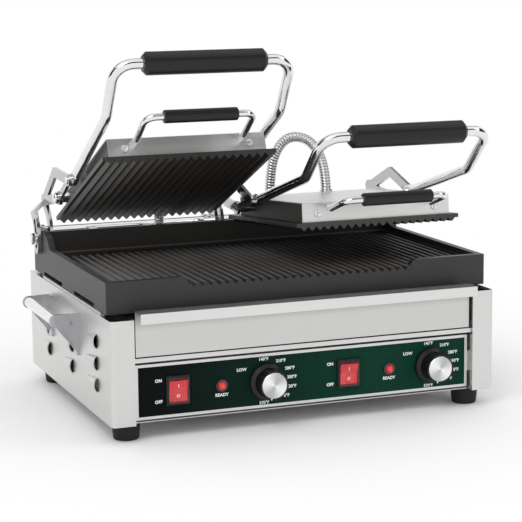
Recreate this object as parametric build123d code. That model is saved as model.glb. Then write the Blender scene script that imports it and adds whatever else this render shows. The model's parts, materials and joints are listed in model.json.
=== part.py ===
from build123d import *
import os
from math import atan2, cos, degrees, hypot, pi, radians, sin, tan

# Double contact grill, millimetres.
# X runs along the front from left to right, Y from front to back, Z up from the table.
# While it is built, y = 0 is the front of the two corner columns; the last step centres it.

# Base casing
BASE_W = 470.0
BASE_D = 353.0
BASE_H = 119.0
FOOT_H = 20.0
FOOT_R_TOP = 16.5
FOOT_R_BOTTOM = 14.5
FOOT_INSET_X = 24.0
FOOT_INSET_Y = 28.0
SHEET = 1.2
COLUMN_W = 27.6
COLUMN_CORNER_R = 5.0
COLUMN_RETURN = 12.0
SEAT_GAP = 0.3
SCREW_R = 2.0
INLET_X = 170.0
INLET_Z = 40.0

# Louvres pressed out of the side panels
LOUVRE_LEN = 40.0
LOUVRE_H = 9.0
LOUVRE_OUT = 5.0
LOUVRE_ROWS = 3
LOUVRE_ROW_PITCH = 25.0
LOUVRE_FIRST_Z = 57.0
LOUVRE_FRONT_Y = 54.0
LOUVRE_COLUMN_PITCH = 103.0
LOUVRE_COLUMNS = 3

# Side carrying handles
CARRY_BAR_R = 6.5
CARRY_BAR_LEN = 126.0
CARRY_FRONT_Y = 128.0
CARRY_Z = 118.0
CARRY_OUT = 27.0
CARRY_PLATE = 3.0
CARRY_PLATE_DROP = 42.0
CARRY_FOOT = 14.0

# Front: drip tray, rail and control panel
FRONT_HALF_W = 204.8
TRAY_FRONT_Y = 5.0
TRAY_TOP_Z = 148.0
TRAY_BOTTOM_Z = 96.0
TRAY_LIP_OUT = 21.0
TRAY_LIP_DROP = 11.5
TRAY_DEPTH = 262.0
TRAY_WALL_H = 26.0
TRAY_HALF_W = 194.0
TRAY_TRAVEL = 230.0
RAIL_Z = 89.7
RAIL_H = 5.0
PANEL_Y = 10.0
PANEL_Z = 23.5
PANEL_H = 62.5
PANEL_RIM = 3.2
OVERLAY_T = 0.4
CONTROL_Z = 54.0
CONTROL_PITCH = 207.0
ROCKER_DX = -52.0
LAMP_DX = 0.0
KNOB_DX = 54.0
KNOB_R = 21.0
KNOB_FLUTE_R = 17.0
KNOB_CAP_R = 14.8
KNOB_DEPTH = 25.0
KNOB_SKIRT = 5.0
KNOB_CAP_T = 1.4
KNOB_TURN = 270.0
SHAFT_R = 3.0
ROCKER_W = 21.0
ROCKER_H = 26.0
ROCKER_TRAVEL = 16.0
BEZEL_W = 28.0
BEZEL_H = 34.0
BEZEL_T = 3.0
SWITCH_DEPTH = 24.0
LAMP_R = 5.2
LAMP_RING_R = 7.0

# Lower casting
CAST_INSET = 2.3
CAST_FRONT_Y = 21.8
CAST_BOTTOM_Z = 142.5
CAST_WALL_TOP = 178.5
CAST_WALL = 8.0
CAST_REAR_Y = 337.0
SLAB_UNDER = 12.0
ELEMENT_R = 4.0
RIB_PITCH = 10.0
RIB_H = 4.0
LOWER_RIB_TIP = 171.0
LOWER_RIB_END_Y = 256.0
OPEN_FRONT_HALF = 137.0
SPLASH_Y = 288.0
SPLASH_T = 5.0
SPLASH_TOP = 197.0
EAR_TOP = 197.5
EAR_START_Y = 262.0
NOTCH_H = 5.0
NOTCH_LEN = 96.0
NOTCH_CENTRES = (112.0, 249.0)

# Hinge line and arms: (forward, up) from the hinge shaft, in the arm's own frame
HINGE_Y = 345.0
HINGE_Z = 187.0
HINGE_SHAFT_R = 5.0
HINGE_BOSS_R = 11.0
GRILL_X = 112.0
ARM_TUBE_HALF = 103.0
ARM_TUBE_R = 6.0
ARM_TAB_T = 6.0
ARM_TAB_R = 7.0
ARM_TAB_LEN = 12.0
ARM_TAB_TAPER = 10.0
ARM_GRIP_R = 13.0
ARM_GRIP_HALF = 71.5
HANDLE_CORNER = (364.5, 143.0)
HANDLE_BEND = (313.2, 92.9)
HANDLE_END = (151.8, 46.4)
ELBOW = (90.1, 64.9)
ARM_CORNER = (25.3, 37.6)
PLATE_PIVOT = (101.1, 31.9)
CROSS_TUBE_R = 9.0
BAR_T = 4.0
BAR_HALF_W = 6.0
BAR_START = 106.0
PIVOT_BOSS_R = 8.5
LEG_REACH = 43.0
LEG_LOW_ANGLE = 6.0
STRAP_HALF_W = 9.0
STRAP_GAP = 1.5
STRAP_LOW_ANGLE = 30.0
STRAP_HIGH_ANGLE = -30.0
JOGGLE_LOW = 23.0
JOGGLE_HIGH = 37.0
STOP_REACH = 40.0
STOP_R = 4.0
STOP_HEAD_R = 8.0
STOP_HEAD_T = 4.5
SLOT_SPARE_ANGLE = 2.0
ARM_OPEN = -24.0
ARM_CLOSED = 14.0
ARM_SCREW_R = 2.5
RUN_CLEAR = 0.08
FACE_GAP = 0.3
BRACKET_T = 3.0
BRACKET_HALF_W = 6.8

# Upper plates: (forward, up) from the pivot stud, in the plate's own frame
FLANGE_HALF = 104.0
FLANGE_FRONT = 187.4
FLANGE_REAR = 43.4
FLANGE_BOTTOM = -15.7
FLANGE_TOP = -11.0
BODY_HALF = 94.5
BODY_FRONT = 180.6
BODY_REAR = 26.0
BODY_TOP = 11.0
BODY_WALL = 5.0
COVER_T = 1.0
STUD_R = 4.0
STUD_COLLAR = 2.0
STUD_GRIP = 14.0
DOME_R = 7.0
DOME_T = 7.0
SMALL_ROD_R = 4.0
SMALL_ROD_HALF = 64.0
SMALL_OUT = 58.0
SMALL_UP = 15.5
SMALL_START_UP = 5.0
SMALL_GRIP_R = 7.5
SMALL_GRIP_HALF = 43.5
COVER_SCREW_X = 75.0
COVER_SCREW_UP = -1.0

# Photographed poses, degrees: positive tips the front down
ARM_REST = {"left": -14.3, "right": 0.0}
PLATE_REST = {"left": -24.3, "right": -4.9}
SIDES = {"left": -1, "right": 1}

# Flexible conduits from the plates to the base
CONDUIT_R = 7.0
CONDUIT_BORE = 3.0
GLAND_R = 10.5
GLAND_H = 16.0
CONDUIT_GLAND_DX = -36.0
CONDUIT_GLAND_Y = 314.0
SOCKET_DX = 28.0
SOCKET_R = 8.5
SOCKET_BACK = 9.0
SOCKET_TOP = 14.0
SOCKET_DEPTH = 8.0
CONDUIT_LIFT = 21.0
CONDUIT_PEAK_Z = {"left": 278.0, "right": 297.0}

BODY_BOTTOM = FOOT_H
BODY_TOP_Z = FOOT_H + BASE_H
HALF_W = BASE_W / 2
CAST_HALF = HALF_W - CAST_INSET
LOWER_VALLEY = LOWER_RIB_TIP - RIB_H


def box(x0, x1, y0, y1, z0, z1):
    """Box from its lowest and highest corners."""
    shape = Box(x1 - x0, y1 - y0, z1 - z0)
    return Pos((x0 + x1) / 2, (y0 + y1) / 2, (z0 + z1) / 2) * shape


def rod_x(radius, x0, x1, y, z):
    """Round bar along X."""
    return Pos((x0 + x1) / 2, y, z) * Rot(0, 90, 0) * Cylinder(radius, x1 - x0)


def rod_y(radius, y0, y1, x, z):
    """Round bar along Y."""
    return Pos(x, (y0 + y1) / 2, z) * Rot(90, 0, 0) * Cylinder(radius, y1 - y0)


def rod_z(radius, z0, z1, x, y):
    """Round bar along Z."""
    return Pos(x, y, (z0 + z1) / 2) * Cylinder(radius, z1 - z0)


def plate_yz(points, x0, x1):
    """Flat plate between two X planes, outlined by (y, z) points."""
    face = make_face(Polyline(*[(0, y, z) for y, z in points], close=True))
    return Pos(x0, 0, 0) * extrude(face, amount=x1 - x0, dir=(1, 0, 0))


def mirrored(shape):
    """The same piece on the other side of the middle plane."""
    return mirror(shape, about=Plane.YZ)


def turn_about(shape, degrees, y, z):
    """Turn about an X axis line; positive tips the front down."""
    return Pos(0, y, z) * Rot(degrees, 0, 0) * Pos(0, -y, -z) * shape


def group(*shapes):
    """Separate solids kept in one node."""
    solids = []
    for shape in shapes:
        solids.extend(shape.solids())
    return Compound(children=solids)


# Base casing

def louvre(z, front_y):
    """One scoop on the left panel: its skin, and the cut that opens its mouth."""
    rear_y = front_y + LOUVRE_LEN
    wide = Plane((0, front_y, z), x_dir=(1, 0, 0), z_dir=(0, 1, 0))
    narrow = Plane((0, rear_y, z), x_dir=(1, 0, 0), z_dir=(0, 1, 0))
    skin = loft([wide * Ellipse(LOUVRE_OUT, LOUVRE_H), narrow * Ellipse(SHEET, LOUVRE_H / 3)])
    inner = (LOUVRE_OUT - SHEET, LOUVRE_H - SHEET)
    core = loft([wide * Ellipse(*inner), narrow * Ellipse(SHEET / 2, LOUVRE_H / 3 - SHEET)])
    return Pos(-HALF_W, 0, 0) * skin, Pos(-HALF_W, 0, 0) * core


def side_panel():
    """Left side: panel, rounded front corner, column face and its return."""
    outer = box(-HALF_W, -HALF_W + COLUMN_W, 0, BASE_D, BODY_BOTTOM, BODY_TOP_Z)
    corner = outer.edges().filter_by(Axis.Z).sort_by(lambda e: e.center().X + e.center().Y)[0]
    outer = fillet(corner, COLUMN_CORNER_R)
    inner = box(-HALF_W + SHEET, -HALF_W + COLUMN_W - SHEET, SHEET, BASE_D + 1,
                BODY_BOTTOM - 1, BODY_TOP_Z + 1)
    inner_corner = inner.edges().filter_by(Axis.Z).sort_by(lambda e: e.center().X + e.center().Y)[0]
    inner = fillet(inner_corner, COLUMN_CORNER_R - SHEET)
    behind = box(-HALF_W + SHEET, -HALF_W + COLUMN_W + 1, SHEET + COLUMN_RETURN, BASE_D + 1,
                 BODY_BOTTOM - 1, BODY_TOP_Z + 1)
    panel = outer - inner - behind
    inside = box(-HALF_W + SHEET, 0, 0, BASE_D, BODY_BOTTOM, BODY_TOP_Z)
    for column in range(LOUVRE_COLUMNS):
        for row in range(LOUVRE_ROWS):
            y = LOUVRE_FRONT_Y + column * LOUVRE_COLUMN_PITCH
            z = LOUVRE_FIRST_Z + row * LOUVRE_ROW_PITCH
            skin, core = louvre(z, y)
            panel = panel + (skin - inside) - core
    return panel


def base_plate():
    """Bottom sheet with the screw holes of the feet."""
    lowest = BODY_BOTTOM
    plate = box(-HALF_W + SHEET, HALF_W - SHEET, PANEL_Y + SHEET, BASE_D - SHEET,
                lowest, lowest + SHEET)
    for x, y in foot_places():
        plate -= rod_z(SCREW_R + RUN_CLEAR, lowest - 1, lowest + SHEET + 1, x, y)
    columns = COLUMN_W + SHEET
    for sign in (-1, 1):
        x0, x1 = sorted((sign * HALF_W, sign * (HALF_W - columns)))
        plate -= box(x0, x1, 0, SHEET + COLUMN_RETURN + SEAT_GAP, lowest - 1, lowest + SHEET + 1)
    return plate


def rear_panel():
    """Back sheet with rows of vent slots."""
    panel = box(-HALF_W + SHEET, HALF_W - SHEET, BASE_D - SHEET, BASE_D, BODY_BOTTOM, BODY_TOP_Z)
    slot = box(-15, 15, BASE_D - SHEET - 1, BASE_D + 1, -2, 2)
    for column in range(-3, 4):
        for row in range(4):
            panel -= Pos(column * 48.0, 0, 62.0 + row * 12.0) * slot
    panel -= rod_y(9.0, BASE_D - SHEET - 1, BASE_D + 1, INLET_X, INLET_Z)
    return panel


def inlet_gland():
    """Short bush where the supply lead enters."""
    flange = rod_y(12.0, BASE_D, BASE_D + 3.0, INLET_X, INLET_Z)
    barrel = rod_y(8.9, BASE_D - 8.0, BASE_D + 12.0, INLET_X, INLET_Z)
    bore = rod_y(4.5, BASE_D - 9.0, BASE_D + 13.0, INLET_X, INLET_Z)
    nut = rod_y(11.5, BASE_D - SHEET - 4.0, BASE_D - SHEET, INLET_X, INLET_Z)
    return flange + barrel + nut - bore


def rear_deck():
    """Top sheet behind the cooking surface, under the hinges."""
    x = HALF_W - SHEET
    y0 = SPLASH_Y + SPLASH_T + FACE_GAP
    deck = box(-x, x, y0, BASE_D - SHEET, BODY_TOP_Z - SHEET, BODY_TOP_Z)
    for sign in SIDES.values():
        deck -= rod_z(CONDUIT_R, BODY_TOP_Z - 5, BODY_TOP_Z + 5, gland_x(sign), CONDUIT_GLAND_Y)
    return deck


def foot_places():
    """Centres of the four feet."""
    xs = (-HALF_W + FOOT_INSET_X, HALF_W - FOOT_INSET_X)
    ys = (FOOT_INSET_Y, BASE_D - FOOT_INSET_Y)
    return [(x, y) for x in xs for y in ys]


def feet():
    """Tapered rubber feet with a screw recess."""
    solids = []
    for x, y in foot_places():
        foot = Pos(x, y, FOOT_H / 2) * Cone(FOOT_R_BOTTOM, FOOT_R_TOP, FOOT_H)
        foot = fillet(foot.edges().sort_by(Axis.Z)[0], 2.0)
        foot -= rod_z(5.0, -1, 12.0, x, y)
        foot -= rod_z(SCREW_R + RUN_CLEAR, 0, FOOT_H + 1, x, y)
        solids.append(foot)
    return group(*solids)


def foot_screws():
    """Pan-head screws that hold the feet, each with its nut."""
    solids = []
    for x, y in foot_places():
        screw = rod_z(4.0, 9.0, 12.0, x, y) + rod_z(SCREW_R, 12.0, FOOT_H + SHEET + 4.0, x, y)
        nut = Pos(x, y, FOOT_H + SHEET + 1.5) * extrude(RegularPolygon(3.8, 6), 1.5, both=True)
        solids.append(screw + nut)
    return group(*solids)


def support_rails():
    """Two folded rails inside the sides that carry the casting."""
    x0 = -HALF_W + SHEET
    top = CAST_BOTTOM_Z
    y0 = 40.0
    y1 = SPLASH_Y + SPLASH_T
    web = box(x0, x0 + SHEET, y0, y1, BODY_TOP_Z - 30.0, top)
    shelf = box(x0, x0 + 16.0, y0, y1, top - SHEET, top)
    rail = web + shelf
    return group(rail, mirrored(rail))


def carry_ends():
    """Y of the front faces of the two brackets on each side."""
    return CARRY_FRONT_Y, CARRY_FRONT_Y + CARRY_BAR_LEN


def carry_bracket(front_y, at_front):
    """Gusset that holds one end of a side handle on the left panel."""
    x = -HALF_W
    y0 = front_y
    y1 = front_y + CARRY_PLATE
    outline = [(x, CARRY_Z + 8.0), (x - CARRY_OUT, CARRY_Z + CARRY_BAR_R + 1.0),
               (x - CARRY_OUT, CARRY_Z - CARRY_BAR_R - 1.0), (x, CARRY_Z - CARRY_PLATE_DROP)]
    face = make_face(Polyline(*[(px, 0, pz) for px, pz in outline], close=True))
    plate = Pos(0, y0, 0) * extrude(face, amount=CARRY_PLATE, dir=(0, 1, 0))
    plate += rod_y(CARRY_BAR_R + 1.0, y0, y1, x - CARRY_OUT, CARRY_Z)
    foot0, foot1 = (y0, y0 + CARRY_FOOT) if at_front else (y1 - CARRY_FOOT, y1)
    plate += box(x - CARRY_PLATE, x, foot0, foot1, CARRY_Z - CARRY_PLATE_DROP, CARRY_Z + 8.0)
    return plate


def carry_brackets():
    """All four gussets."""
    front, rear = carry_ends()
    pair = group(carry_bracket(front, True), carry_bracket(rear, False))
    return group(pair, mirrored(pair))


def carry_bars():
    """Round bars between the gussets."""
    front, rear = carry_ends()
    bar = rod_y(CARRY_BAR_R, front + CARRY_PLATE, rear, -HALF_W - CARRY_OUT, CARRY_Z)
    return group(bar, mirrored(bar))


# Front: tray, rail, controls

def drip_tray():
    """Pull-out tray: front plate, folded lip, shallow pan."""
    x = FRONT_HALF_W
    y = TRAY_FRONT_Y
    front = box(-x, x, y, y + SHEET, TRAY_BOTTOM_Z, TRAY_TOP_Z)
    lip_y = y - TRAY_LIP_OUT
    top = box(-x, x, lip_y, y + SHEET, TRAY_TOP_Z - SHEET, TRAY_TOP_Z)
    drop = box(-x, x, lip_y, lip_y + SHEET, TRAY_TOP_Z - TRAY_LIP_DROP, TRAY_TOP_Z)
    pan_z = TRAY_BOTTOM_Z + 2.0
    pan = box(-TRAY_HALF_W, TRAY_HALF_W, y, y + TRAY_DEPTH, pan_z, pan_z + TRAY_WALL_H)
    pan -= box(-TRAY_HALF_W + SHEET, TRAY_HALF_W - SHEET, y + SHEET, y + TRAY_DEPTH - SHEET,
               pan_z + SHEET, pan_z + TRAY_WALL_H + 1)
    return front + top + drop + pan


def tray_runners():
    """Angle runners under the tray's edges."""
    z = TRAY_BOTTOM_Z + 2.0 - SEAT_GAP
    y0 = TRAY_FRONT_Y + 12.0
    y1 = TRAY_FRONT_Y + TRAY_DEPTH + 10.0
    x0 = -HALF_W + SHEET
    shelf = box(x0, -TRAY_HALF_W + 14.0, y0, y1, z - SHEET, z)
    web = box(x0, x0 + SHEET, y0, y1, z - 14.0, z)
    keep = box(x0, x0 + COLUMN_W, 0, SHEET + COLUMN_RETURN + SEAT_GAP, z - 20, z + 5)
    runner = shelf + web - keep
    return group(runner, mirrored(runner))


def front_rail():
    """Strip under the tray, folded back between the columns."""
    z = RAIL_Z
    x = HALF_W - COLUMN_W - FACE_GAP
    face = box(-x, x, 4.0, 4.0 + SHEET, z, z + RAIL_H)
    shelf = box(-x, x, 4.0, 26.0, z, z + SHEET)
    return face + shelf


def control_places():
    """X of the two sets of controls."""
    return {"left": -CONTROL_PITCH / 2, "right": CONTROL_PITCH / 2}


def bezel_cut(x):
    """Opening for one switch body."""
    w = ROCKER_W / 2 + 1.4
    h = ROCKER_H / 2 + 1.4
    return box(x - w, x + w, PANEL_Y - 5, PANEL_Y + 5, CONTROL_Z - h, CONTROL_Z + h)


def panel_cuts():
    """Openings through the panel and its printed overlay."""
    cuts = []
    for x in control_places().values():
        cuts.append(bezel_cut(x + ROCKER_DX))
        cuts.append(rod_y(LAMP_R + 0.3, PANEL_Y - 5, PANEL_Y + 5, x + LAMP_DX, CONTROL_Z))
        cuts.append(rod_y(5.3, PANEL_Y - 5, PANEL_Y + 5, x + KNOB_DX, CONTROL_Z))
    return cuts


def control_panel():
    """Stainless panel with folded edges all round."""
    x = FRONT_HALF_W
    y = PANEL_Y
    z0 = PANEL_Z
    z1 = PANEL_Z + PANEL_H
    rim = PANEL_RIM
    panel = box(-x, x, y, y + SHEET, z0, z1)
    panel += box(-x, x, y, y + 14.0, z0, z0 + SHEET) + box(-x, x, y, y + 14.0, z1 - SHEET, z1)
    raised = box(-x, x, y - 0.6, y, z0, z1)
    panel += raised - box(-x + rim, x - rim, y - 1, y, z0 + rim, z1 - rim)
    tab_end = HALF_W - COLUMN_W - FACE_GAP
    tab = box(x - 6.0, tab_end, y + SHEET, y + 2 * SHEET, CONTROL_Z - 12.0, CONTROL_Z + 12.0)
    panel += tab + mirrored(tab)
    for cut in panel_cuts():
        panel -= cut
    return panel


def panel_overlay():
    """Printed sheet inside the panel's rim."""
    x = FRONT_HALF_W - PANEL_RIM
    z0 = PANEL_Z + PANEL_RIM
    z1 = PANEL_Z + PANEL_H - PANEL_RIM
    sheet = box(-x, x, PANEL_Y - OVERLAY_T, PANEL_Y, z0, z1)
    for cut in panel_cuts():
        sheet -= cut
    return sheet


def switch_body(x):
    """Rocker switch housing with its bezel and two tabs."""
    y = PANEL_Y - OVERLAY_T
    bezel = box(x - BEZEL_W / 2, x + BEZEL_W / 2, y - BEZEL_T, y,
                CONTROL_Z - BEZEL_H / 2, CONTROL_Z + BEZEL_H / 2)
    front = bezel.faces().sort_by(Axis.Y)[0]
    bezel = chamfer(front.edges(), 1.0)
    w = ROCKER_W / 2 + 1.2
    h = ROCKER_H / 2 + 1.2
    body = box(x - w, x + w, y, y + SWITCH_DEPTH, CONTROL_Z - h, CONTROL_Z + h)
    well = box(x - ROCKER_W / 2 - 0.4, x + ROCKER_W / 2 + 0.4, y - BEZEL_T - 1, y + 10.0,
               CONTROL_Z - ROCKER_H / 2 - 0.4, CONTROL_Z + ROCKER_H / 2 + 0.4)
    shape = bezel + body - well
    for dz in (-7.0, 7.0):
        shape += box(x - 3, x + 3, y + SWITCH_DEPTH, y + SWITCH_DEPTH + 8.0,
                     CONTROL_Z + dz - 0.4, CONTROL_Z + dz + 0.4)
    shape += rod_x(1.4, x - ROCKER_W / 2 - 0.4, x - ROCKER_W / 2 + 1.5, y + 2.0, CONTROL_Z)
    shape += rod_x(1.4, x + ROCKER_W / 2 - 1.5, x + ROCKER_W / 2 + 0.4, y + 2.0, CONTROL_Z)
    return shape


def rocker(x):
    """Rocker cap with a dished face, tipped to its lower position."""
    y = PANEL_Y - OVERLAY_T + 2.0
    half = ROCKER_H / 2
    w = ROCKER_W / 2
    profile = [(y + 4.0, half - 5.0), (y - 5.5, half - 0.8), (y - 4.0, 0),
               (y - 5.5, -half + 0.8), (y + 4.0, -half + 5.0)]
    cap = plate_yz([(py, CONTROL_Z + pz) for py, pz in profile], x - w, x + w)
    cap -= rod_x(1.4 + RUN_CLEAR, x - w - 1, x - w + 2.0, y, CONTROL_Z)
    cap -= rod_x(1.4 + RUN_CLEAR, x + w - 2.0, x + w + 1, y, CONTROL_Z)
    return turn_about(cap, ROCKER_TRAVEL / 2, y, CONTROL_Z)


def indicator_lamp(x):
    """Lamp lens, collar and body behind the panel."""
    y = PANEL_Y - OVERLAY_T
    collar = rod_y(LAMP_RING_R, y - 1.6, y, x, CONTROL_Z)
    body = rod_y(LAMP_R, y, y + 16.0, x, CONTROL_Z)
    dome = Pos(x, y - 1.6, CONTROL_Z) * scale(Sphere(LAMP_R), by=(1, 0.75, 1))
    return collar + body + dome


def thermostat(x):
    """Thermostat can behind the panel with its shaft through it."""
    y = PANEL_Y + SHEET
    shaft = rod_y(SHAFT_R, PANEL_Y - KNOB_DEPTH + 6.0, y, x, CONTROL_Z)
    bush = rod_y(4.6, y - SHEET - OVERLAY_T - 2.0, y, x, CONTROL_Z)
    can = rod_y(17.0, y, y + 22.0, x, CONTROL_Z)
    plate = box(x - 21.0, x + 21.0, y, y + SHEET, CONTROL_Z - 12.0, CONTROL_Z + 12.0)
    return shaft + bush + can + plate


def knob(x):
    """Black knob: flared skirt, fluted grip, recess for the cap."""
    face = PANEL_Y - OVERLAY_T - 0.6
    front = face - KNOB_DEPTH
    skirt = rod_y(KNOB_R, face - KNOB_SKIRT, face, x, CONTROL_Z)
    cone = Pos(x, face - KNOB_SKIRT - 1.5, CONTROL_Z) * Rot(90, 0, 0) * Cone(KNOB_R, KNOB_FLUTE_R, 3.0)
    grip = rod_y(KNOB_FLUTE_R, front, face - KNOB_SKIRT, x, CONTROL_Z)
    flute = rod_y(1.6, front - 1, face - KNOB_SKIRT - 3.0, x, CONTROL_Z + KNOB_FLUTE_R + 0.6)
    for step in range(24):
        turned = Pos(x, 0, CONTROL_Z) * Rot(0, 15.0 * step, 0) * Pos(-x, 0, -CONTROL_Z) * flute
        grip -= turned
    shape = skirt + cone + grip
    shape -= rod_y(KNOB_CAP_R, front - 1, front + KNOB_CAP_T, x, CONTROL_Z)
    shape -= rod_y(SHAFT_R + RUN_CLEAR, front + 5.0, face + 1, x, CONTROL_Z)
    shape -= rod_y(5.2, face - 3.0, face + 1, x, CONTROL_Z)
    return shape


def knob_cap(x):
    """Spun aluminium disc let into the knob's face."""
    front = PANEL_Y - OVERLAY_T - 0.6 - KNOB_DEPTH
    disc = rod_y(KNOB_CAP_R, front - 0.6, front + KNOB_CAP_T, x, CONTROL_Z)
    return chamfer(disc.edges().sort_by(Axis.Y)[0], 0.5)


# Lower casting and what is under it

def ribs(half_width, y0, y1, root_z, tip_z):
    """Row of sharp ribs along Y, as one toothed slab."""
    count = int(half_width * 2 // RIB_PITCH)
    start = -count * RIB_PITCH / 2
    down = 3.0 if tip_z > root_z else -3.0
    points = [(start, root_z - down)]
    for index in range(count):
        x = start + index * RIB_PITCH
        points += [(x + 0.6, root_z), (x + RIB_PITCH / 2 - 0.9, tip_z),
                   (x + RIB_PITCH / 2 + 0.9, tip_z), (x + RIB_PITCH - 0.6, root_z)]
    points.append((start + count * RIB_PITCH, root_z - down))
    face = make_face(Polyline(*[(x, 0, z) for x, z in points], close=True))
    return Pos(0, y0, 0) * extrude(face, amount=y1 - y0, dir=(0, 1, 0))


def casting_side():
    """Left side wall with its rear ear and the two foot notches."""
    z0 = CAST_BOTTOM_Z
    outline = [(CAST_FRONT_Y, z0), (CAST_FRONT_Y, CAST_WALL_TOP), (EAR_START_Y, CAST_WALL_TOP),
               (EAR_START_Y + 12.0, EAR_TOP - 6.0), (EAR_START_Y + 34.0, EAR_TOP),
               (CAST_REAR_Y - 5.0, EAR_TOP), (CAST_REAR_Y, EAR_TOP - 6.0), (CAST_REAR_Y, z0)]
    wall = plate_yz(outline, -CAST_HALF, -CAST_HALF + CAST_WALL)
    for y in NOTCH_CENTRES:
        half = NOTCH_LEN / 2
        notch = [(y - half, z0 - 1), (y - half + 6.0, z0 + NOTCH_H),
                 (y + half - 6.0, z0 + NOTCH_H), (y + half, z0 - 1)]
        wall -= plate_yz(notch, -CAST_HALF - 1, -CAST_HALF + CAST_WALL + 1)
    return wall


def front_block():
    """Raised wall at the left end of the casting's front, rounded at its inner top."""
    block = box(-CAST_HALF, -OPEN_FRONT_HALF, CAST_FRONT_Y, CAST_FRONT_Y + CAST_WALL,
                CAST_BOTTOM_Z, CAST_WALL_TOP)
    edges = block.edges().filter_by(Axis.Y).sort_by(lambda e: e.center().X + e.center().Z)
    return fillet(edges[-1], 8.0)


def lower_casting():
    """Ribbed lower plate with side walls, splash wall and hinge ears."""
    slab = box(-CAST_HALF, CAST_HALF, CAST_FRONT_Y, SPLASH_Y + SPLASH_T, CAST_BOTTOM_Z, LOWER_VALLEY)
    slab -= box(-CAST_HALF + CAST_WALL, CAST_HALF - CAST_WALL, CAST_FRONT_Y + CAST_WALL, SPLASH_Y,
                CAST_BOTTOM_Z - 1, LOWER_VALLEY - SLAB_UNDER)
    for y in NOTCH_CENTRES:
        half = NOTCH_LEN / 2 - 6.0
        slab -= box(-CAST_HALF - 1, CAST_HALF + 1, y - half, y + half,
                    CAST_BOTTOM_Z - 1, CAST_BOTTOM_Z + NOTCH_H)
    inner = CAST_HALF - CAST_WALL - 1.0
    y0 = CAST_FRONT_Y
    casting = slab + ribs(inner, y0, LOWER_RIB_END_Y, LOWER_VALLEY, LOWER_RIB_TIP)
    splash = box(-CAST_HALF + CAST_WALL / 2, CAST_HALF - CAST_WALL / 2, SPLASH_Y, SPLASH_Y + SPLASH_T,
                 LOWER_VALLEY - 5.0, SPLASH_TOP)
    side = casting_side()
    block = front_block()
    casting = casting + splash + side + mirrored(side) + block + mirrored(block)
    for sign in (-1, 1):
        x0, x1 = sorted((sign * (CAST_HALF - CAST_WALL - 1), sign * (CAST_HALF + 1)))
        casting -= rod_x(STOP_R, x0, x1, HINGE_Y - STOP_REACH, HINGE_Z)
    return casting


def element_loop(half_w, y0, y1, z):
    """Bent heating tube: one hairpin with two legs inside it."""
    path = FilletPolyline((-half_w, y0, z), (-half_w, y1, z), (half_w, y1, z), (half_w, y0, z),
                          (half_w - 30.0, y0, z), (half_w - 30.0, y1 - 30.0, z),
                          (-half_w + 30.0, y1 - 30.0, z), (-half_w + 30.0, y0 + 2.0, z), radius=12.0)
    section = Plane(origin=path @ 0, z_dir=path % 0) * Circle(ELEMENT_R)
    return sweep(section, path=path)


def lower_element(sign):
    """Heating tube clamped against the underside of one half."""
    z = LOWER_VALLEY - SLAB_UNDER - ELEMENT_R - SEAT_GAP
    return Pos(sign * GRILL_X, 0, 0) * element_loop(85.0, 60.0, 250.0, z)


def heat_shield():
    """Sheet under the elements that keeps the heat from the tray."""
    z = TRAY_BOTTOM_Z + TRAY_WALL_H + 8.0
    x = HALF_W - SHEET - SHEET - FACE_GAP
    shield = box(-x, x, 34.0, SPLASH_Y, z, z + SHEET)
    legs = box(-x, -x + SHEET, 34.0, SPLASH_Y, z, CAST_BOTTOM_Z - SHEET - FACE_GAP)
    return shield + legs + mirrored(legs)


def terminal_block():
    """Ceramic block on the bottom plate where the lead is joined."""
    z = BODY_BOTTOM + SHEET
    block = box(120.0, 180.0, 300.0, 322.0, z, z + 18.0)
    for index in range(4):
        block -= rod_z(3.0, z + 10.0, z + 20.0, 129.0 + index * 14.0, 311.0)
    return block


# Hinge hardware

def hinge_bracket(x0, x1, foot0, foot1):
    """Upright on the rear deck with a foot, bored for the hinge shaft."""
    y0 = HINGE_Y - BRACKET_HALF_W
    y1 = HINGE_Y + BRACKET_HALF_W
    upright = box(x0, x1, y0, y1, BODY_TOP_Z, HINGE_Z)
    upright += rod_x(BRACKET_HALF_W + 1.0, x0, x1, HINGE_Y, HINGE_Z) & box(
        x0, x1, y0, y1, HINGE_Z, HINGE_Z + 20.0)
    foot = box(foot0, foot1, y0, y1, BODY_TOP_Z, BODY_TOP_Z + BRACKET_T)
    return upright + foot - rod_x(HINGE_SHAFT_R, x0 - 1, x1 + 1, HINGE_Y, HINGE_Z)


def outer_bracket_x():
    """X of the near and far faces of the right outer hinge bracket."""
    near = GRILL_X + BAR_START + BAR_T + STRAP_GAP
    return near, near + BRACKET_T


def hinge_brackets():
    """Two outer brackets and one in the middle between the grills."""
    near, far = outer_bracket_x()
    outer = hinge_bracket(near, far, near - 22.0, far)
    middle = hinge_bracket(-BRACKET_T / 2, BRACKET_T / 2, -20.0, 20.0)
    return group(outer, middle, mirrored(outer))


def hinge_shaft():
    """One plain shaft through all brackets and both cross tubes."""
    end = outer_bracket_x()[1] + 1.5
    shaft = rod_x(HINGE_SHAFT_R, -end, end, HINGE_Y, HINGE_Z)
    return chamfer(shaft.edges().filter_by(GeomType.CIRCLE), 0.8)


def strap_x():
    """X of the near and far faces of the slotted strap outside the right ear."""
    near = CAST_HALF + STRAP_GAP
    return near, near + BAR_T


def stop_bolts():
    """Bolts in the ears that run in the straps' curved slots."""
    far = strap_x()[1] + FACE_GAP
    y = HINGE_Y - STOP_REACH
    shank = rod_x(STOP_R, CAST_HALF - CAST_WALL, far, y, HINGE_Z)
    washer = rod_x(STOP_HEAD_R, far, far + 1.5, y, HINGE_Z)
    plane = Plane((far + 1.5, y, HINGE_Z), z_dir=(1, 0, 0))
    head = extrude(plane * RegularPolygon(STOP_HEAD_R - 1.0, 6), STOP_HEAD_T)
    bolt = shank + washer + head
    return group(bolt, mirrored(bolt))


def inner_bar_x():
    """X of the near and far faces of the right grill's inner bar."""
    return GRILL_X - BAR_START - BAR_T, GRILL_X - BAR_START


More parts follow.
